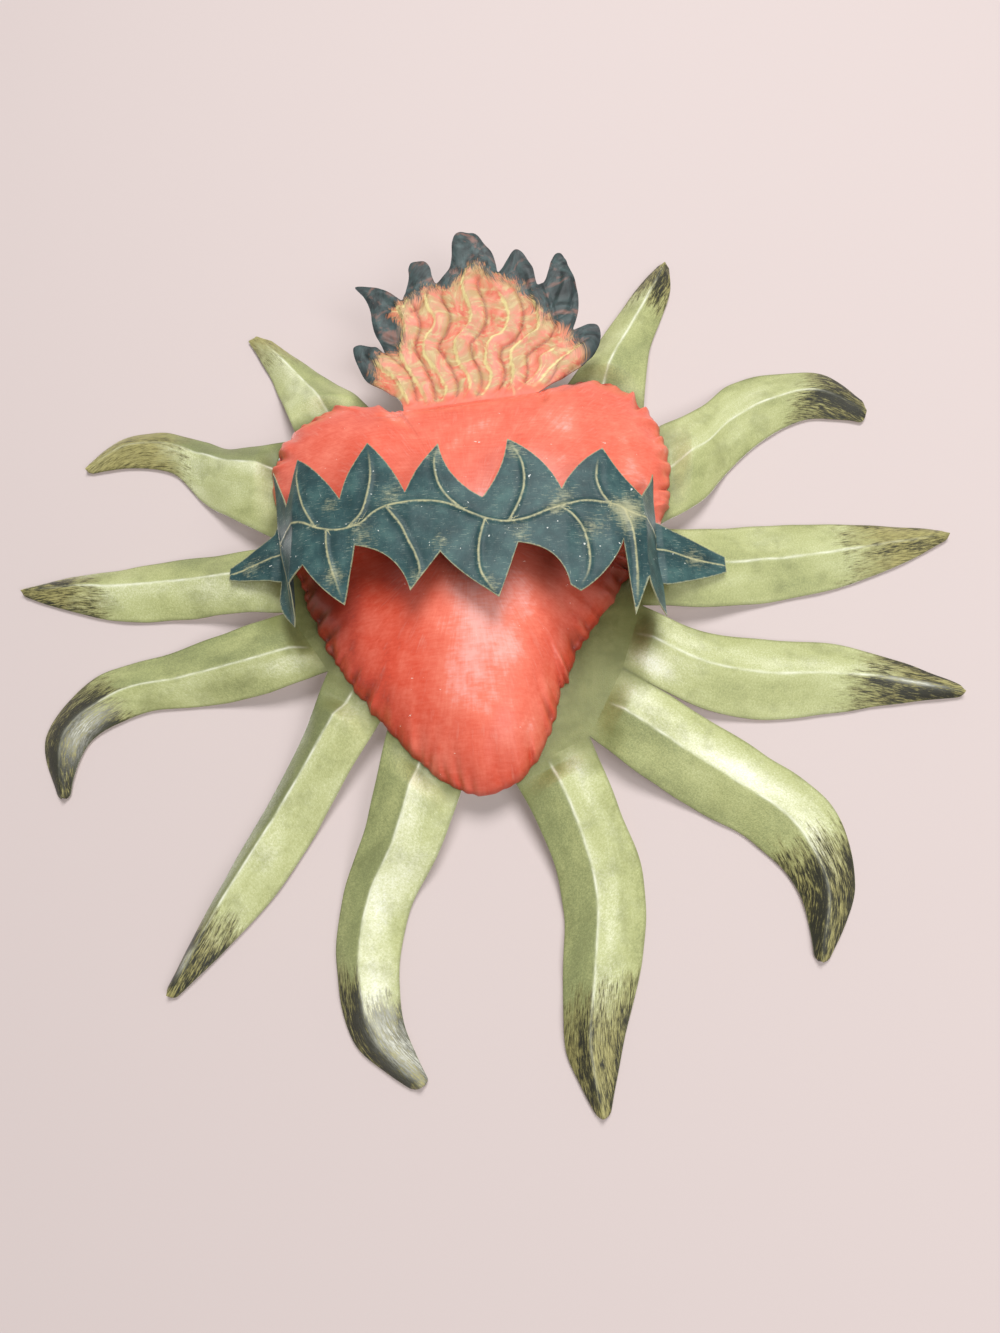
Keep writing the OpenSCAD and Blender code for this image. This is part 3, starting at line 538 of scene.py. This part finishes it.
def heart_paint():
    """Coral enamel brushed out from the middle of the heart: glossy, with streaks of a deeper red towards
    the sides, partly painted shade, a painted sheen down the middle, painted shade in the rim's furrows
    and painted shadow below the crown, and small white chips."""
    material, tree, shader, lay, flat, deep, shade, smudge = new_finish(
        "coral_enamel_on_tin", "lay flat deep shade smudge")
    streak = uneven(tree, lay, 3.2, (1, 5, 1), 5.0)
    cloud = uneven(tree, flat, 20, (1, 1.4, 1), 5.0, 0.62)
    brush = uneven(tree, flat, 1.4, (6, 1, 2), rough=0.7)
    chips = uneven(tree, flat, 4, (1.6, 0.7, 1), 3.0, 0.7)
    colour = add(tree, "ValToRGB", {0: broken(tree, deep, (0.07, streak), (0.08, brush), (0.2, cloud))},
                 stops=[(0.0, "#F6ABA0"), (0.25, "#EE7C65"), (0.6, "#DB5138"), (0.85, "#BE3722"),
                        (1.0, "#8E2218")])
    pale = add(tree, "Math", {0: cloud, 1: streak}, operation="ADD")
    # pale scuffs, grey in the deepest rim furrows, the painted shade and shadow, then white chips
    colour = coats(tree, colour, ("#F9BBA8", (pale, 0.5, 1.9, 0.0, 0.35)), ("#75564F", smudge),
                   ("#4A140F", shade), ("#F3E0D6", (chips, CHIP_FROM, CHIP_WHOLE, 0.0, 0.9)))
    finish(tree, shader, colour, 0.34, 0.4, ((streak, 0.06, 0.6), (brush, 0.05, 0.4)))
    return material


def flame_paint():
    """Salmon and orange acrylic with yellow strokes on the ridges and charcoal tips: satin."""
    material, tree, shader, lay, body, across, far, groove, tip, base, edge = new_finish(
        "salmon_acrylic_on_tin", "lay body across far groove tip base edge")
    streak = uneven(tree, lay, 0.9, (1, 6, 1))
    cloud = uneven(tree, lay, 6, (1, 1.6, 1), 5.0)
    patch = uneven(tree, lay, 3.2, (1.7, 1, 1), 3.0, 0.6)
    wide = uneven(tree, lay, 11, (1, 0.8, 1), 3.0, 0.6)
    colour = shades(tree, cloud, [(0.1, "#C9644B"), (0.5, "#DA795F"), (0.9, "#DD967C")])
    # lighter pink on the pleats, olive and cream patches, and a painted shadow along each groove
    colour = coats(tree, colour, ("#E3A08F", body, 0.55), ("#B0A672", (wide, -0.3, 0.6, 0.0, 0.7)),
                   ("#D0BE8A", (patch, 0.1, 0.7, 0.0, 0.7)), ("#7E4233", groove))
    # a thin yellow stroke runs up the left side of each ridge and breaks where the brush ran dry
    stray = add(tree, "Math", {0: broken(tree, across, (0.5, patch))}, operation="ABSOLUTE")
    colour = coats(tree, colour, ("#EEE3A2", (stray, 0.3, 1.3, 1.0, 0.0), (far, 2.0, 3.0, 1.0, 0.0),
                                  (wide, -0.9, 0.2, 0.2, 0.9)), ("#E87762", base))
    # charcoal drawn down from the tips, in strokes that thin out over the orange
    tip = broken(tree, tip, (4.2, streak), (3.2, cloud))
    charcoal = coats(tree, linear("#1C2A2D"), ("#465C5D", (cloud, -0.5, 0.9)))
    colour = coats(tree, colour, ("#BE9A62", (tip, -7.0, -2.0, 0.0, 0.3)),
                   ("#5E4638", (tip, -4.5, 0.5, 0.0, 0.6)), (charcoal, (tip, -1.2, 2.0, 0.0, 0.97)),
                   ("#96695C", (wide, 0.2, 0.8, 0.0, 0.65), (tip, 1.0, 4.0)), ("#20292B", edge))
    finish(tree, shader, colour, 0.45, 0.25, ((streak, 0.12, 0.4),))
    return material


def crown_paint():
    """Slate-teal acrylic rubbed back to cream and old gold on edges, veins and scratches: satin."""
    material, tree, shader, lay, off, far, taper, cut, rub, beside = new_finish(
        "teal_acrylic_on_tin", "lay off far taper cut rub beside")
    wear = uneven(tree, lay, 2.6, detail=5.0, rough=0.7)
    cloud = uneven(tree, lay, 14, rough=0.6)
    drag = uneven(tree, lay, 0.5, (10, 1, 1), 3.0, 0.7)
    upright = uneven(tree, lay, 0.5, (1, 10, 1), 3.0, 0.7)
    flakes = uneven(tree, lay, 3.2, detail=2.0, rough=0.6)
    colour = shades(tree, cloud, [(0.0, "#1C383B"), (0.5, "#2B4A4C"), (1.0, "#436462")])
    # veins stand proud, so the cloth took the paint off them in one thin even line
    stray = add(tree, "Math", {0: broken(tree, off, (0.2, wear))}, operation="ABSOLUTE")
    rim = broken(tree, cut, (-0.35, wear))
    rub = broken(tree, rub, (0.18, wear), (0.34, drag), (0.06, upright))
    across = add(tree, "Math", {0: upright, 1: 0.2}, operation="SUBTRACT")
    scratch = add(tree, "Math", {0: drag, 1: across}, operation="MAXIMUM")
    # a painted shade beside each vein, then rubs, scratches, the vein line, rubbed cut edges and chips
    colour = coats(tree, colour, ("#122B2F", beside), ("#B3B28C", (rub, 0.3, 0.85, 0.0, 0.75)),
                   ("#A9B6A6", (scratch, 0.5, 0.95, 0.0, 0.6), (cloud, -0.8, 0.3, 0.25, 1.0)),
                   ("#BDB98E", (stray, 0.1, 0.8, 1.0, 0.0), (far, 1.8, 2.6, 1.0, 0.0), taper,
                    (wear, -0.9, 0.4, 0.3, 0.9)),
                   ("#B4B28B", (rim, 0.0, 0.6, 0.7, 0.0)),
                   ("#E3E6E0", (flakes, CHIP_FROM, CHIP_WHOLE, 0.0, 0.85)))
    finish(tree, shader, colour, 0.45, 0.25, ((wear, 0.1, 0.4),))
    return material


def plain_metal(name, dark, pale, rough, size):
    """Bare metal with a cloudy tarnish."""
    material, tree, shader = new_finish(name)
    cloud = uneven(tree, add(tree, "TexCoord", out="Object"), size * MM, detail=5.0)
    colour = shades(tree, cloud, [(0.12, dark), (0.88, pale)])
    tree.links.new(colour, shader.inputs["Base Color"])
    shader.inputs["Metallic"].default_value = 0.85
    dull = add(tree, "MapRange", {0: cloud, 1: -1.0, 2: 1.0, 3: rough - 0.1, 4: rough + 0.12})
    tree.links.new(dull, shader.inputs["Roughness"])
    relief = add(tree, "Bump", {"Height": cloud, "Strength": 0.2, "Distance": 0.0005})
    tree.links.new(relief, shader.inputs["Normal"])
    return material


# Rim of the heart, which the rays and their paint keep clear of


def heart_rim(count):
    """Outline of the heart round its tip, then back along the bend: places and shares of rise."""
    s = np.linspace(0, 1, count)
    outline = curve(OUTLINE, s)
    rise = 1 - smooth(np.minimum(s, 1 - s) * (len(OUTLINE) - 1))
    back = np.linspace(0, 1, count // 8 + 1)[1:-1, None]
    bend = mix(outline[-1], outline[0], back)
    return np.concatenate([outline, bend]), np.concatenate([rise, np.ones(len(bend))])


HEART_MIDDLE = np.array([0, 0.08]) * HEART_HALF
RIM, RIM_RISE = heart_rim(RIM_POINTS)


def past_rim(places):
    """How far plan places are outside the heart's rim."""
    def turn(d):
        return (np.degrees(np.arctan2(d[..., 1], d[..., 0])) + 270) % 360

    ways, rim = places - HEART_MIDDLE, RIM[:RIM_POINTS] - HEART_MIDDLE
    return span(ways) - np.interp(turn(ways), turn(rim), span(rim))


def under_heart(plan):
    """How much painted shade darkens the olive where the heart stands over it."""
    return 0.75 * smooth((12 - past_rim(plan)) / 26)


# Rays


def ray_lines(k, s):
    """A ray's two edges and ridge in plan, and the heights of edges and ridge."""
    table = np.array(RAYS[k], float)
    edges = []
    for side, corner in zip((1, -1), RAY_CORNERS[k]):
        points = SUN_R * table[:, :2] + side * RAY_W / 2 * table[:, 2:]
        edges.append(curve(np.vstack([CORNERS[corner], points]), s))
    ridge = mix(edges[0], edges[1], curve(RIDGES[k], s)[:, None])
    low = mix(FRONT_H, TIP_H + SHEET_T, smooth(s / 0.45))
    past = np.minimum(*[past_rim(mix(ridge, e, 0.65)) for e in edges])
    out = span(ridge - ridge[0])
    high = low + RIDGE_RISE * crisp(np.minimum(out, past - RIDGE_GAP) / RIDGE_RAMP) * mix(
        1, 0.3, smooth((s - 0.7) / 0.3))
    return edges, ridge, low, high


def ray_tin(k, material):
    """A ray creased along its ridge, with the facts that its paint follows."""
    s = np.linspace(0, 1, RAY_ROWS) ** 1.15
    edges, ridge, low, high = ray_lines(k, s)
    length = run_along(ridge)
    from_tip = length[-1] - length
    # the very tip is snipped round
    pinch = np.sqrt(np.clip(1 - ((SNIP - from_tip) / SNIP).clip(0, 1) ** 2 * 0.85, 0, 1))
    half = np.array([0, 0.02, 0.045, 0.08, 0.13, 0.2, 0.29, 0.4, 0.52, 0.64, 0.76, 0.86, 0.93, 0.975, 1])
    t = np.concatenate([-half[:0:-1], half])
    sides = [mix(ridge, e, pinch[:, None]) for e in edges]
    plan = np.stack([mix(ridge, sides[int(c >= 0)], abs(c)) for c in t], 1)
    widths = np.stack([span(e - ridge) for e in sides], 1)[:, (t >= 0).astype(int)]
    across = t * widths
    # the ridge is a blunt fold, the facets belly a little, and a hand hammered them
    blunt = 1.1 / np.maximum(widths, 2)
    fall = (np.sqrt(t**2 + blunt**2) - blunt) / (np.sqrt(1 + blunt**2) - blunt)
    height = low[:, None] + (high - low)[:, None] * (1 - fall)
    open_part = smooth(length / 12)[:, None] * smooth(from_tip / 10)[:, None]
    height = height + 0.5 * np.sin(np.pi * np.abs(t)) * open_part
    height = height + 0.25 * dents(plan, 24, 40 + k) * open_part
    wobble = 0.175 * dents(plan, 30, 60 + k) * np.abs(t) ** 3 * open_part
    plan = plan + wobble[..., None]
    ones = np.ones_like(height)
    along = length[:, None] * ones

    def patches(table):
        """Soft patches of paint at their places on this ray."""
        return sum([much * hump(across - place, wide) * hump(along - share * length[-1], long)
                    for ray, share, place, wide, long, much in table if ray == k], 0 * ones)

    soft_side = smooth((across + 0.9) / 1.8)
    beside = hump(np.abs(across) - 4, 11)
    # painted sheen in patches, laid on as extra pearl
    painted_sheen = patches(PAINTED_SHEENS)
    pearl = mix(PEARL[k][0], PEARL[k][1], soft_side)
    pearl = np.where(pearl > 0, pearl * (0.4 + 0.6 * beside), pearl * (0.8 + 0.2 * beside))
    pearl = pearl * smooth((s[:, None] + 0.06) / 0.16) + painted_sheen
    root = 0.9 * smooth((24 - along + 5 * dents(plan, 22, 90)) / 24) * (1 - np.minimum(painted_sheen, 0.9))
    # a painted highlight along the ridge, partly worn pale paint
    crest = hump(across, 0.7) * smooth(length / 10)[:, None] * smooth((0.97 - s) / 0.15)[:, None]
    first, second, blacker = BRUSHED[k]
    tip = (s[:, None] - mix(first, second, soft_side)) * length[-1] / 12
    # soot gathers beside the ridge on the first side and along the cut edge of the other
    gather = 0.5 * hump(across + 3.2, 4) + 0.45 * smooth((t - 0.62) / 0.3)
    gather = gather - 0.35 * smooth((s[:, None] - 0.95) / 0.04)
    soot = 0.7 * np.clip(tip, -2, 0) + 0.12 * np.clip(tip, 0, 1.4) - 0.16 + smooth(tip / 1.2) * gather
    soot = soot + blacker * smooth((tip + 0.5) / 1.5)
    piece = tin_sheet(f"ray_{RAY_NAMES[k]}_tin", plan, height, (plan, height - SHEET_T),
                      {"lay": np.stack([across, along, 100 * k * ones], -1), "pearl": pearl, "tip": tip,
                       "crest": crest, "edge": 0.45 * smooth((np.abs(t) - 0.93) / 0.07) * ones,
                       "shade": under_heart(plan), "root": root, "worn": patches(WORN), "soot": soot},
                      material)
    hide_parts(f"ray_{RAY_NAMES[k]}")


def plate_tin(material):
    """The flat middle of the sunburst, under the heart."""
    edge = [mix(a, b, np.linspace(0, 1, 24)[:-1, None])
            for a, b in zip(CORNERS, np.roll(CORNERS, -1, axis=0))]
    points, faces, _ = cut_flat(np.concatenate(edge)[::-1], PLATE_GRAIN)
    flat = np.zeros(len(points))
    lay = np.column_stack([points, flat - 100])
    piece = cut_tin("centre_plate_tin", faces, at(points, FRONT_H), at(points, PLATE_H),
                    {"lay": lay, "pearl": flat, "tip": flat - 5, "crest": flat, "edge": flat,
                     "shade": under_heart(points), "root": flat + 0.9, "worn": flat, "soot": flat - 2},
                    material)
    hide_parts("centre_plate")


# Heart


def heart_tin(material):
    """The heart: a dome gathered along its rim, with the facts that its paint follows."""
    way = RIM - HEART_MIDDLE
    reach = span(way)
    run = run_along(RIM)
    r = 1 - np.linspace(0, 1, HEART_ROWS) ** 1.7
    r[-1] = 0.004
    inward = (1 - r)[:, None] * reach
    plan = HEART_MIDDLE + r[:, None, None] * way
    # the rise at the bend spreads out as it goes down the dome
    spreads = np.array([0, 3, 6, 10, 15, 22, 30])
    spin = np.fft.rfftfreq(len(run), run[-1] / len(run))
    soft = np.stack([np.fft.irfft(np.fft.rfft(RIM_RISE) * np.exp(-2 * (np.pi * spin * w) ** 2), len(run))
                     for w in spreads])
    level = np.interp(inward * 0.45, spreads, np.arange(len(spreads)))
    below = np.minimum(level.astype(int), len(spreads) - 2)
    column = np.arange(len(run))
    rise = mix(soft[below, column], soft[below + 1, column], level - below)
    rise[0] = RIM_RISE
    base = BEND_RISE * rise
    dome = (1 - r[:, None] ** 2.3) ** 0.7
    height = FRONT_H + base + (HEART_DEPTH - base) * dome * mix(1, smooth((inward + 1) / 9), rise)

    def near_way(off):
        """Distance round the rim, the short way."""
        return (off + run[-1] / 2) % run[-1] - run[-1] / 2

    # gathered rim: short furrows and puffs of uneven width, length and lean, and finer nicks between
    free = 1 - smooth(RIM_RISE / 0.5)
    draw = np.random.default_rng(5)
    spot, fold = 0.0, np.zeros_like(height)
    while spot < run[-1]:
        deep = draw.choice([-1, -1, 1]) * draw.uniform(0.5, 1.5)
        wide, long, lean = draw.uniform(1.4, 3.4), draw.uniform(6, 15), draw.uniform(-0.5, 0.5)
        off = near_way(run - spot - lean * inward)
        fold += deep * hump(off, wide * (1 + inward / 22)) * hump(inward, long)
        spot += draw.uniform(5.5, 14)
    spot = 2.0
    while spot < run[-1]:
        off = near_way(run - spot)
        fold -= draw.uniform(0.2, 0.55) * hump(off, 1.3 + inward / 16) * hump(inward, draw.uniform(4, 9))
        spot += draw.uniform(4, 10)
    fold *= free * mix(1, 0.45, smooth((-80 - RIM[:, 1]) / 20))
    puff = dents(RIM, 22, 6) * free
    plan = plan + ((1.3 * fold + 0.5 * puff) * hump(inward, 6))[..., None] * (way / reach[:, None])
    height = height + 2.5 * fold * smooth(inward / 3) + puff * hump(inward - 8, 7)
    height = height + 0.8 * dents(plan, 48, 9) * smooth(inward / 20) * free
    # creases pinched in where the lobes meet the bend
    for end, way_in, deep in (([-42, 101], [-0.9, -0.35], 2.2), ([41, 108], [0.1, -1.0], 2.6)):
        d, w = plan - end, np.array(way_in) / np.linalg.norm(way_in)
        along, beside = d @ w, d @ np.array([-w[1], w[0]])
        height = height - deep * hump(beside, 2.2) * smooth((along + 6) / 6) * smooth((17 - along) / 15)
    front = np.dstack([plan, height])
    closed = np.concatenate([front[:, -1:], front, front[:, :1]], 1)
    normal = np.cross(np.gradient(closed, axis=1)[:, 1:-1], np.gradient(front, axis=0))
    normal /= span(normal)[..., None] + 1e-9
    normal *= np.sign(normal[..., 2].mean())
    back = (plan - normal[..., :2] * SHEET_T, np.maximum(height - normal[..., 2] * SHEET_T, FRONT_H))
    # redder at the sides below the crown and on the upper left, partly painted shade of the dome's sides;
    # palest down the middle, a painted sheen; a painted shade in the furrows, painted light on the puffs
    x, y = plan[..., 0], plan[..., 1]
    low = smooth((40 - y) / 60)
    aside = smooth((np.abs(x - 8) - 14) / 45)
    deep = 0.35 + mix(0.08, 0.2, x < 8) * low * aside + 0.1 * low * smooth((r[:, None] - 0.55) / 0.45)
    deep = deep - 0.26 * low * hump(np.hypot(x - 10, (y + 38) / 2.4), 20)
    deep = deep + 0.08 * smooth((-x - 25) / 40) * (1 - low)
    deep = deep + np.where(fold < 0, -0.16 * fold, -0.06 * fold)
    # greyer and darker in the deepest furrows of the rim
    smudge = 0.5 * np.clip(-fold - 0.5, 0, 1) * smooth(inward / 2)
    # painted shadow below the crown with some airbrushed smoke, most of it on the left, and a painted
    #     # shade along the rim
    smoke_and_shadow = 0.68 * hump(x + 80, 26) + 0.36 * hump(x - 92, 20)
    smoke_and_shadow = np.maximum(smoke_and_shadow * smooth((y + 44) / 30), 0.5 * smooth((y + 34) / 26))
    shade = np.maximum(0.4 * hump(inward, 2.0) * free, smoke_and_shadow * smooth((14 - y) / 20))
    lay = np.dstack([0 * height + run, inward, 0 * height])
    piece = tin_sheet("heart_shell_tin", plan, height, back,
                      {"lay": lay, "flat": front, "deep": deep, "shade": shade, "smudge": smudge},
                      material, ring=True)
    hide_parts("heart_shell")


# Flame


def flame_tin(material):
    """The flame, pleated from the bend up to its tips, with the facts that its paint follows."""
    ring = curve(FLAME_CUT, np.linspace(0, 1, 560))
    foot = mix(ring[-1], ring[0], np.linspace(0, 1, 62)[1:-1, None])
    points, faces, to_cut = cut_flat(np.concatenate([ring, foot])[::-1], FLAME_GRAIN)
    ends = OUTLINE[[0, -1], 1]
    above_bend = points[:, 1] - mix(ends[0], ends[1], np.clip((points[:, 0] + 40) / 80, 0, 1))
    up = np.clip((points[:, 1] - ends.mean()) / FLAME_H, 0, 2)
    body, groove = np.zeros((2, len(points)))
    nearest, across = np.full((2, len(points)), FAR_OFF)
    for crest in CRESTS:
        far, side, share = from_line(points, crest)
        right = -side * far
        fade = smooth(share / 0.07) * smooth((1 - share) / 0.25) * smooth(above_bend / 6)
        wide = mix(5, FLAME_PLEAT, smooth(share / 0.35))
        proud = smooth((right + 0.9) / 1.8) * smooth((wide - right) / 1.8)
        round_top = 1 - 0.62 * np.clip(right / wide, 0, 1) ** 0.9
        body = np.maximum(body, proud * np.clip(round_top, 0, 1) * fade)
        # a groove at each pleat's right foot, also painted dark as its shadow
        groove = np.maximum(groove, hump(right - wide - 0.2, 0.7) * fade)
        across = np.where(far < nearest, right, across)
        nearest = np.minimum(far, nearest) + 5 * (1 - fade) * (far < nearest)
    rolled = smooth((3.2 - to_cut) / 3.2) * smooth(above_bend / 10)
    ripples = np.sin(points[:, 1] / 1.9 + 2.5 * dents(points, 20, 24)) * (1 - 0.6 * body)
    ripples = ripples * smooth(above_bend / 15) * np.clip(0.6 + dents(points, 30, 27), 0, 1.4)
    uneven_body = body * (1 + 0.3 * dents(points, 24, 26))
    height = BEND_H + FLAME_LEAN * up**1.6
    height = height + 1.6 * uneven_body - 0.5 * groove - 0.6 * rolled + 0.3 * ripples
    height = height + 0.35 * dents(points, 16, 21) * smooth(above_bend / 20)
    border = curve(CHARCOAL_LINE, np.linspace(0, 1, 300))
    orange = inside(points, np.concatenate([border, [[60, 95], [-60, 95]]]))
    far, _, _ = from_line(points, CHARCOAL_LINE)
    lay = np.column_stack([points, 0 * up])
    lay[:, :2] += 3 * np.stack([dents(points, 24, 22), dents(points, 24, 23)], -1)
    piece = cut_tin("flame_tin", faces, at(points, height), at(points, height - SHEET_T),
                    {"lay": lay, "body": body, "across": across, "far": nearest, "groove": 0.7 * groove,
                     "tip": np.where(orange, -far, far),
                     "base": smooth((9 - above_bend + 3 * dents(points, 9, 25)) / 9),
                     "edge": 0.5 * smooth((1.2 - to_cut) / 1.2) * smooth(above_bend / 5)}, material)
    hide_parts("flame")


# Crown of thorns


def ridge_over(k, x):
    """Height of a ray's ridge at the distance x to one side of the middle."""
    s = np.linspace(0, 1, 200)
    _, ridge, _, high = ray_lines(k, s)
    return np.interp(x, np.abs(ridge[:, 0]), high)


def crown_columns():
    """Columns of the crown from leaf to leaf: place, height, middle, upper and lower cut, two leans."""
    def thorn(s):
        return CROWN_Z + s * THORN_L / 2

    leaf = []
    for (x, h, *_), ray, reach, cuts in ((CROWN[0], 2, -LEAF_REACH[0], LEAVES[0]),
                                         (CROWN[-1], 9, LEAF_REACH[1], LEAVES[1])):
        root = x * CROWN_W / 2
        places = [mix(root + LEAF_L * reach, root, w) for w in (0, LEAF_SEAT, LEAF_MIDDLE)]
        seat = [ridge_over(ray, abs(p)) + LEAF_GAP + SHEET_T for p in places[:2]]
        seat.append(mix(seat[1], h * CROWN_H, (LEAF_MIDDLE - LEAF_SEAT) / (1 - LEAF_SEAT)))
        leaf.append([[p, up, thorn(z), thorn(top), thorn(low), 0, 0]
                     for p, up, (top, z, low) in zip(places, seat, cuts)])
    middle = [[x * CROWN_W / 2, h * CROWN_H, thorn(z), thorn(top), thorn(low),
               *[lean * CROWN_W / 2 for lean in leans or (0, 0)]]
              for x, h, z, top, low, *leans in CROWN]
    return np.array(leaf[0] + middle + leaf[1][::-1])


def read_off(places, run, columns):
    """Columns of values read off at places along a run."""
    return np.stack([np.interp(places, run, column) for column in columns.T], -1)


def crown_tin(material):
    """The crown of thorns bowed over the heart, with the facts that its paint follows."""
    table = crown_columns()
    run = run_along(table[:, :2])

    def unroll(line):
        line = np.asarray(line, float)
        return np.stack([np.interp(line[:, 0], table[:, 0], run), line[:, 1]], -1)

    top, low = unroll(bowed(CROWN_TOP, 1.2)), unroll(bowed(CROWN_LOW, 1.2))
    closing = np.linspace(0, 1, 8)[1:-1, None]
    ring = np.concatenate([low, mix(low[-1], top[-1], closing), top[::-1], mix(top[0], low[0], closing)])
    points, faces, to_cut = cut_flat(ring, CROWN_GRAIN)
    along, z = points.T
    # the way the strip runs over the heart, softened where the columns meet
    fine = np.linspace(0, run[-1], 900)
    way = np.gradient(read_off(fine, run, table[:, :2]), fine, axis=0)
    way = np.stack([np.convolve(np.pad(w, 4, mode="edge"), np.ones(9) / 9, "valid") for w in way.T], -1)
    way /= span(way)[:, None]
    out_x, out_h = read_off(along, fine, way).T
    # a thorn leans as a whole, more of it the farther out
    x, h, middle, upper, lower, lean_up, lean_down = read_off(along, run, table).T
    share = (z - middle) / np.maximum(np.where(z > middle, upper - middle, middle - lower), 6)
    share = np.clip(share, -1.1, 1.1)
    x = x + np.where(share > 0, lean_up, lean_down) * np.abs(share)
    vein, beside, taper = np.zeros((3, len(points)))
    nearest, off = np.full((2, len(points)), FAR_OFF)
    for i, line in enumerate(VEINS):
        far, side, reached = from_line(points, unroll(line))
        fade = 1 if i == 0 else smooth((1 - reached) / 0.35)
        vein = np.maximum(vein, hump(far, 1.1) * fade)
        off = np.where(far < nearest, side * far, off)
        taper = np.where(far < nearest, fade, taper)
        nearest = np.minimum(far, nearest)
        # a shallow trough beside each vein, also painted dark as the vein's shade
        beside = np.maximum(beside, hump(far - 2.6, 1.5) * fade)
    on_band = smooth((along - run[2]) / 12) * smooth((run[-3] - along) / 12)
    push = (0.7 * vein - 0.1 * beside + 0.35 * dents(np.stack([x, z, h], -1), 26, 31)) * on_band
    push = push - 0.15 * smooth((2.5 - to_cut) / 2.5) * on_band
    plan = np.stack([x - push * out_h, z], -1)
    height = h + push * out_x
    back_plan = plan + np.stack([SHEET_T * out_h, 0 * x], -1)
    rub = np.zeros(len(points))
    for place_x, place_z, reach in RUBS:
        spot = unroll([[place_x, place_z]])[0]
        rub = rub + 0.45 * hump(span(points - spot), reach)
    rub = rub + 0.22 * hump(nearest, 3.5) * np.clip(dents(points, 26, 33) + 0.2, 0, 1)
    piece = cut_tin("crown_band_tin", faces, at(plan, height), at(back_plan, height - SHEET_T * out_x),
                    {"lay": np.column_stack([points, 0 * x]), "off": off, "far": nearest, "taper": taper,
                     "cut": to_cut, "rub": rub, "beside": 0.3 * beside}, material)
    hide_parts("crown_band")


# Pieces

olive = ray_paint()
for k in range(len(RAYS)):
    ray_tin(k, olive)
plate_tin(olive)
heart_tin(heart_paint())
flame_tin(flame_paint())
crown_tin(crown_paint())

# soft solder: a cool grey with a low shine
solder = plain_metal("tin_lead_solder", "#8B8D8E", "#B9BBBB", 0.4, 3)
# unpainted tinplate: a warm grey, duller than the solder
strap_tin = plain_metal("bare_tinplate", "#85827B", "#A8A59C", 0.45, 8)
# zinc-coated wire: a pale grey with the clearest shine of the three
wire = plain_metal("galvanised_wire", "#8A8C8C", "#B4B6B5", 0.35, 2)
for node, material in (("heart_solder", solder), ("crown_solder", solder), ("strap_solder", solder),
                       ("hanger_strap", strap_tin), ("hanger_ring", wire)):
    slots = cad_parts[node].data.materials
    if len(slots):
        slots[0] = material
    else:
        slots.append(material)


# Stage, camera and lights


def plaster_wall():
    """A plain pale wall right behind the piece, which only shows and shades from its front."""
    mesh = bpy.data.meshes.new("wall")
    corners = [(x * WALL_HALF, 0, z * WALL_HALF) for x, z in ((-1, -1), (1, -1), (1, 1), (-1, 1))]
    mesh.from_pydata(corners, [], [(0, 1, 2, 3)])
    wall = put_in("wall", mesh)
    wall.location = (0, WALL_BEHIND, -0.1)
    # matt pale plaster, quiet behind the paint
    material, tree, shader = new_finish("pale_plaster")
    shader.inputs["Base Color"].default_value = linear("#CFC2C0")
    shader.inputs["Roughness"].default_value = 0.9
    shader.inputs["Specular IOR Level"].default_value = 0.1
    gone = add(tree, "Math", {0: add(tree, "NewGeometry", out="Backfacing"),
                              1: add(tree, "LightPath", out="Is Shadow Ray")}, operation="MAXIMUM")
    clear = add(tree, "BsdfTransparent")
    both = add(tree, "MixShader", {0: gone, 1: shader.outputs[0], 2: clear})
    tree.links.new(both, tree.nodes["Material Output"].inputs["Surface"])
    mesh.materials.append(material)


def area_lamp(name, place, aim, size, watts, colour="#FFFFFF"):
    data = bpy.data.lights.new(name, "AREA")
    data.shape = "DISK"
    data.size = size
    data.energy = watts
    data.color = linear(colour)[:3]
    lamp = put_in(name, data)
    lamp.location = place
    lamp.rotation_euler = (Vector(aim) - Vector(place)).to_track_quat("-Z", "Y").to_euler()


plaster_wall()
world = bpy.data.worlds.new("studio")
bpy.context.scene.world = world
world.use_nodes = True
# the room behind shows pale to the camera and in the metal, at no more light on the piece
air = world.node_tree
seen = add(air, "LightPath", out="Is Camera Ray")
for ray in ("Is Glossy Ray", "Is Transmission Ray"):
    seen = add(air, "Math", {0: seen, 1: add(air, "LightPath", out=ray)}, operation="MAXIMUM")
glow = add(air, "MapRange", {0: seen, 3: 0.42, 4: 0.8})
air.nodes["Background"].inputs["Color"].default_value = linear("#F2EFEC")
air.links.new(glow, air.nodes["Background"].inputs["Strength"])
HUB = (0, -0.03, -0.087)
area_lamp("window", (0.25, -1.9, 0.85), HUB, 1.1, 36)
area_lamp("fill", (0.9, -1.3, -1.0), HUB, 1.0, 12)
area_lamp("back_left", (-0.9, 1.2, 0.7), HUB, 1.0, 26)
area_lamp("back_right", (0.9, 1.2, 0.2), HUB, 1.0, 20)

# the photograph's own camera, worked out from the threads of the cloth that the piece lies on
camera = put_in("camera", bpy.data.cameras.new("camera"))
camera.data.lens = 23.766
camera.data.sensor_width = 36
camera.data.clip_start = 0.01
side = (0.99768583, 0.06245201, -0.0268835)
up = (0.04749397, -0.35717593, 0.93282886)
toward = (0.04865489, -0.93194694, -0.35931546)
camera.matrix_world = Matrix((
    (side[0], up[0], toward[0], 0.034),
    (side[1], up[1], toward[1], -0.44466),
    (side[2], up[2], toward[2], -0.30169),
    (0, 0, 0, 1)))
bpy.context.scene.camera = camera
bpy.context.scene.view_settings.view_transform = "Standard"
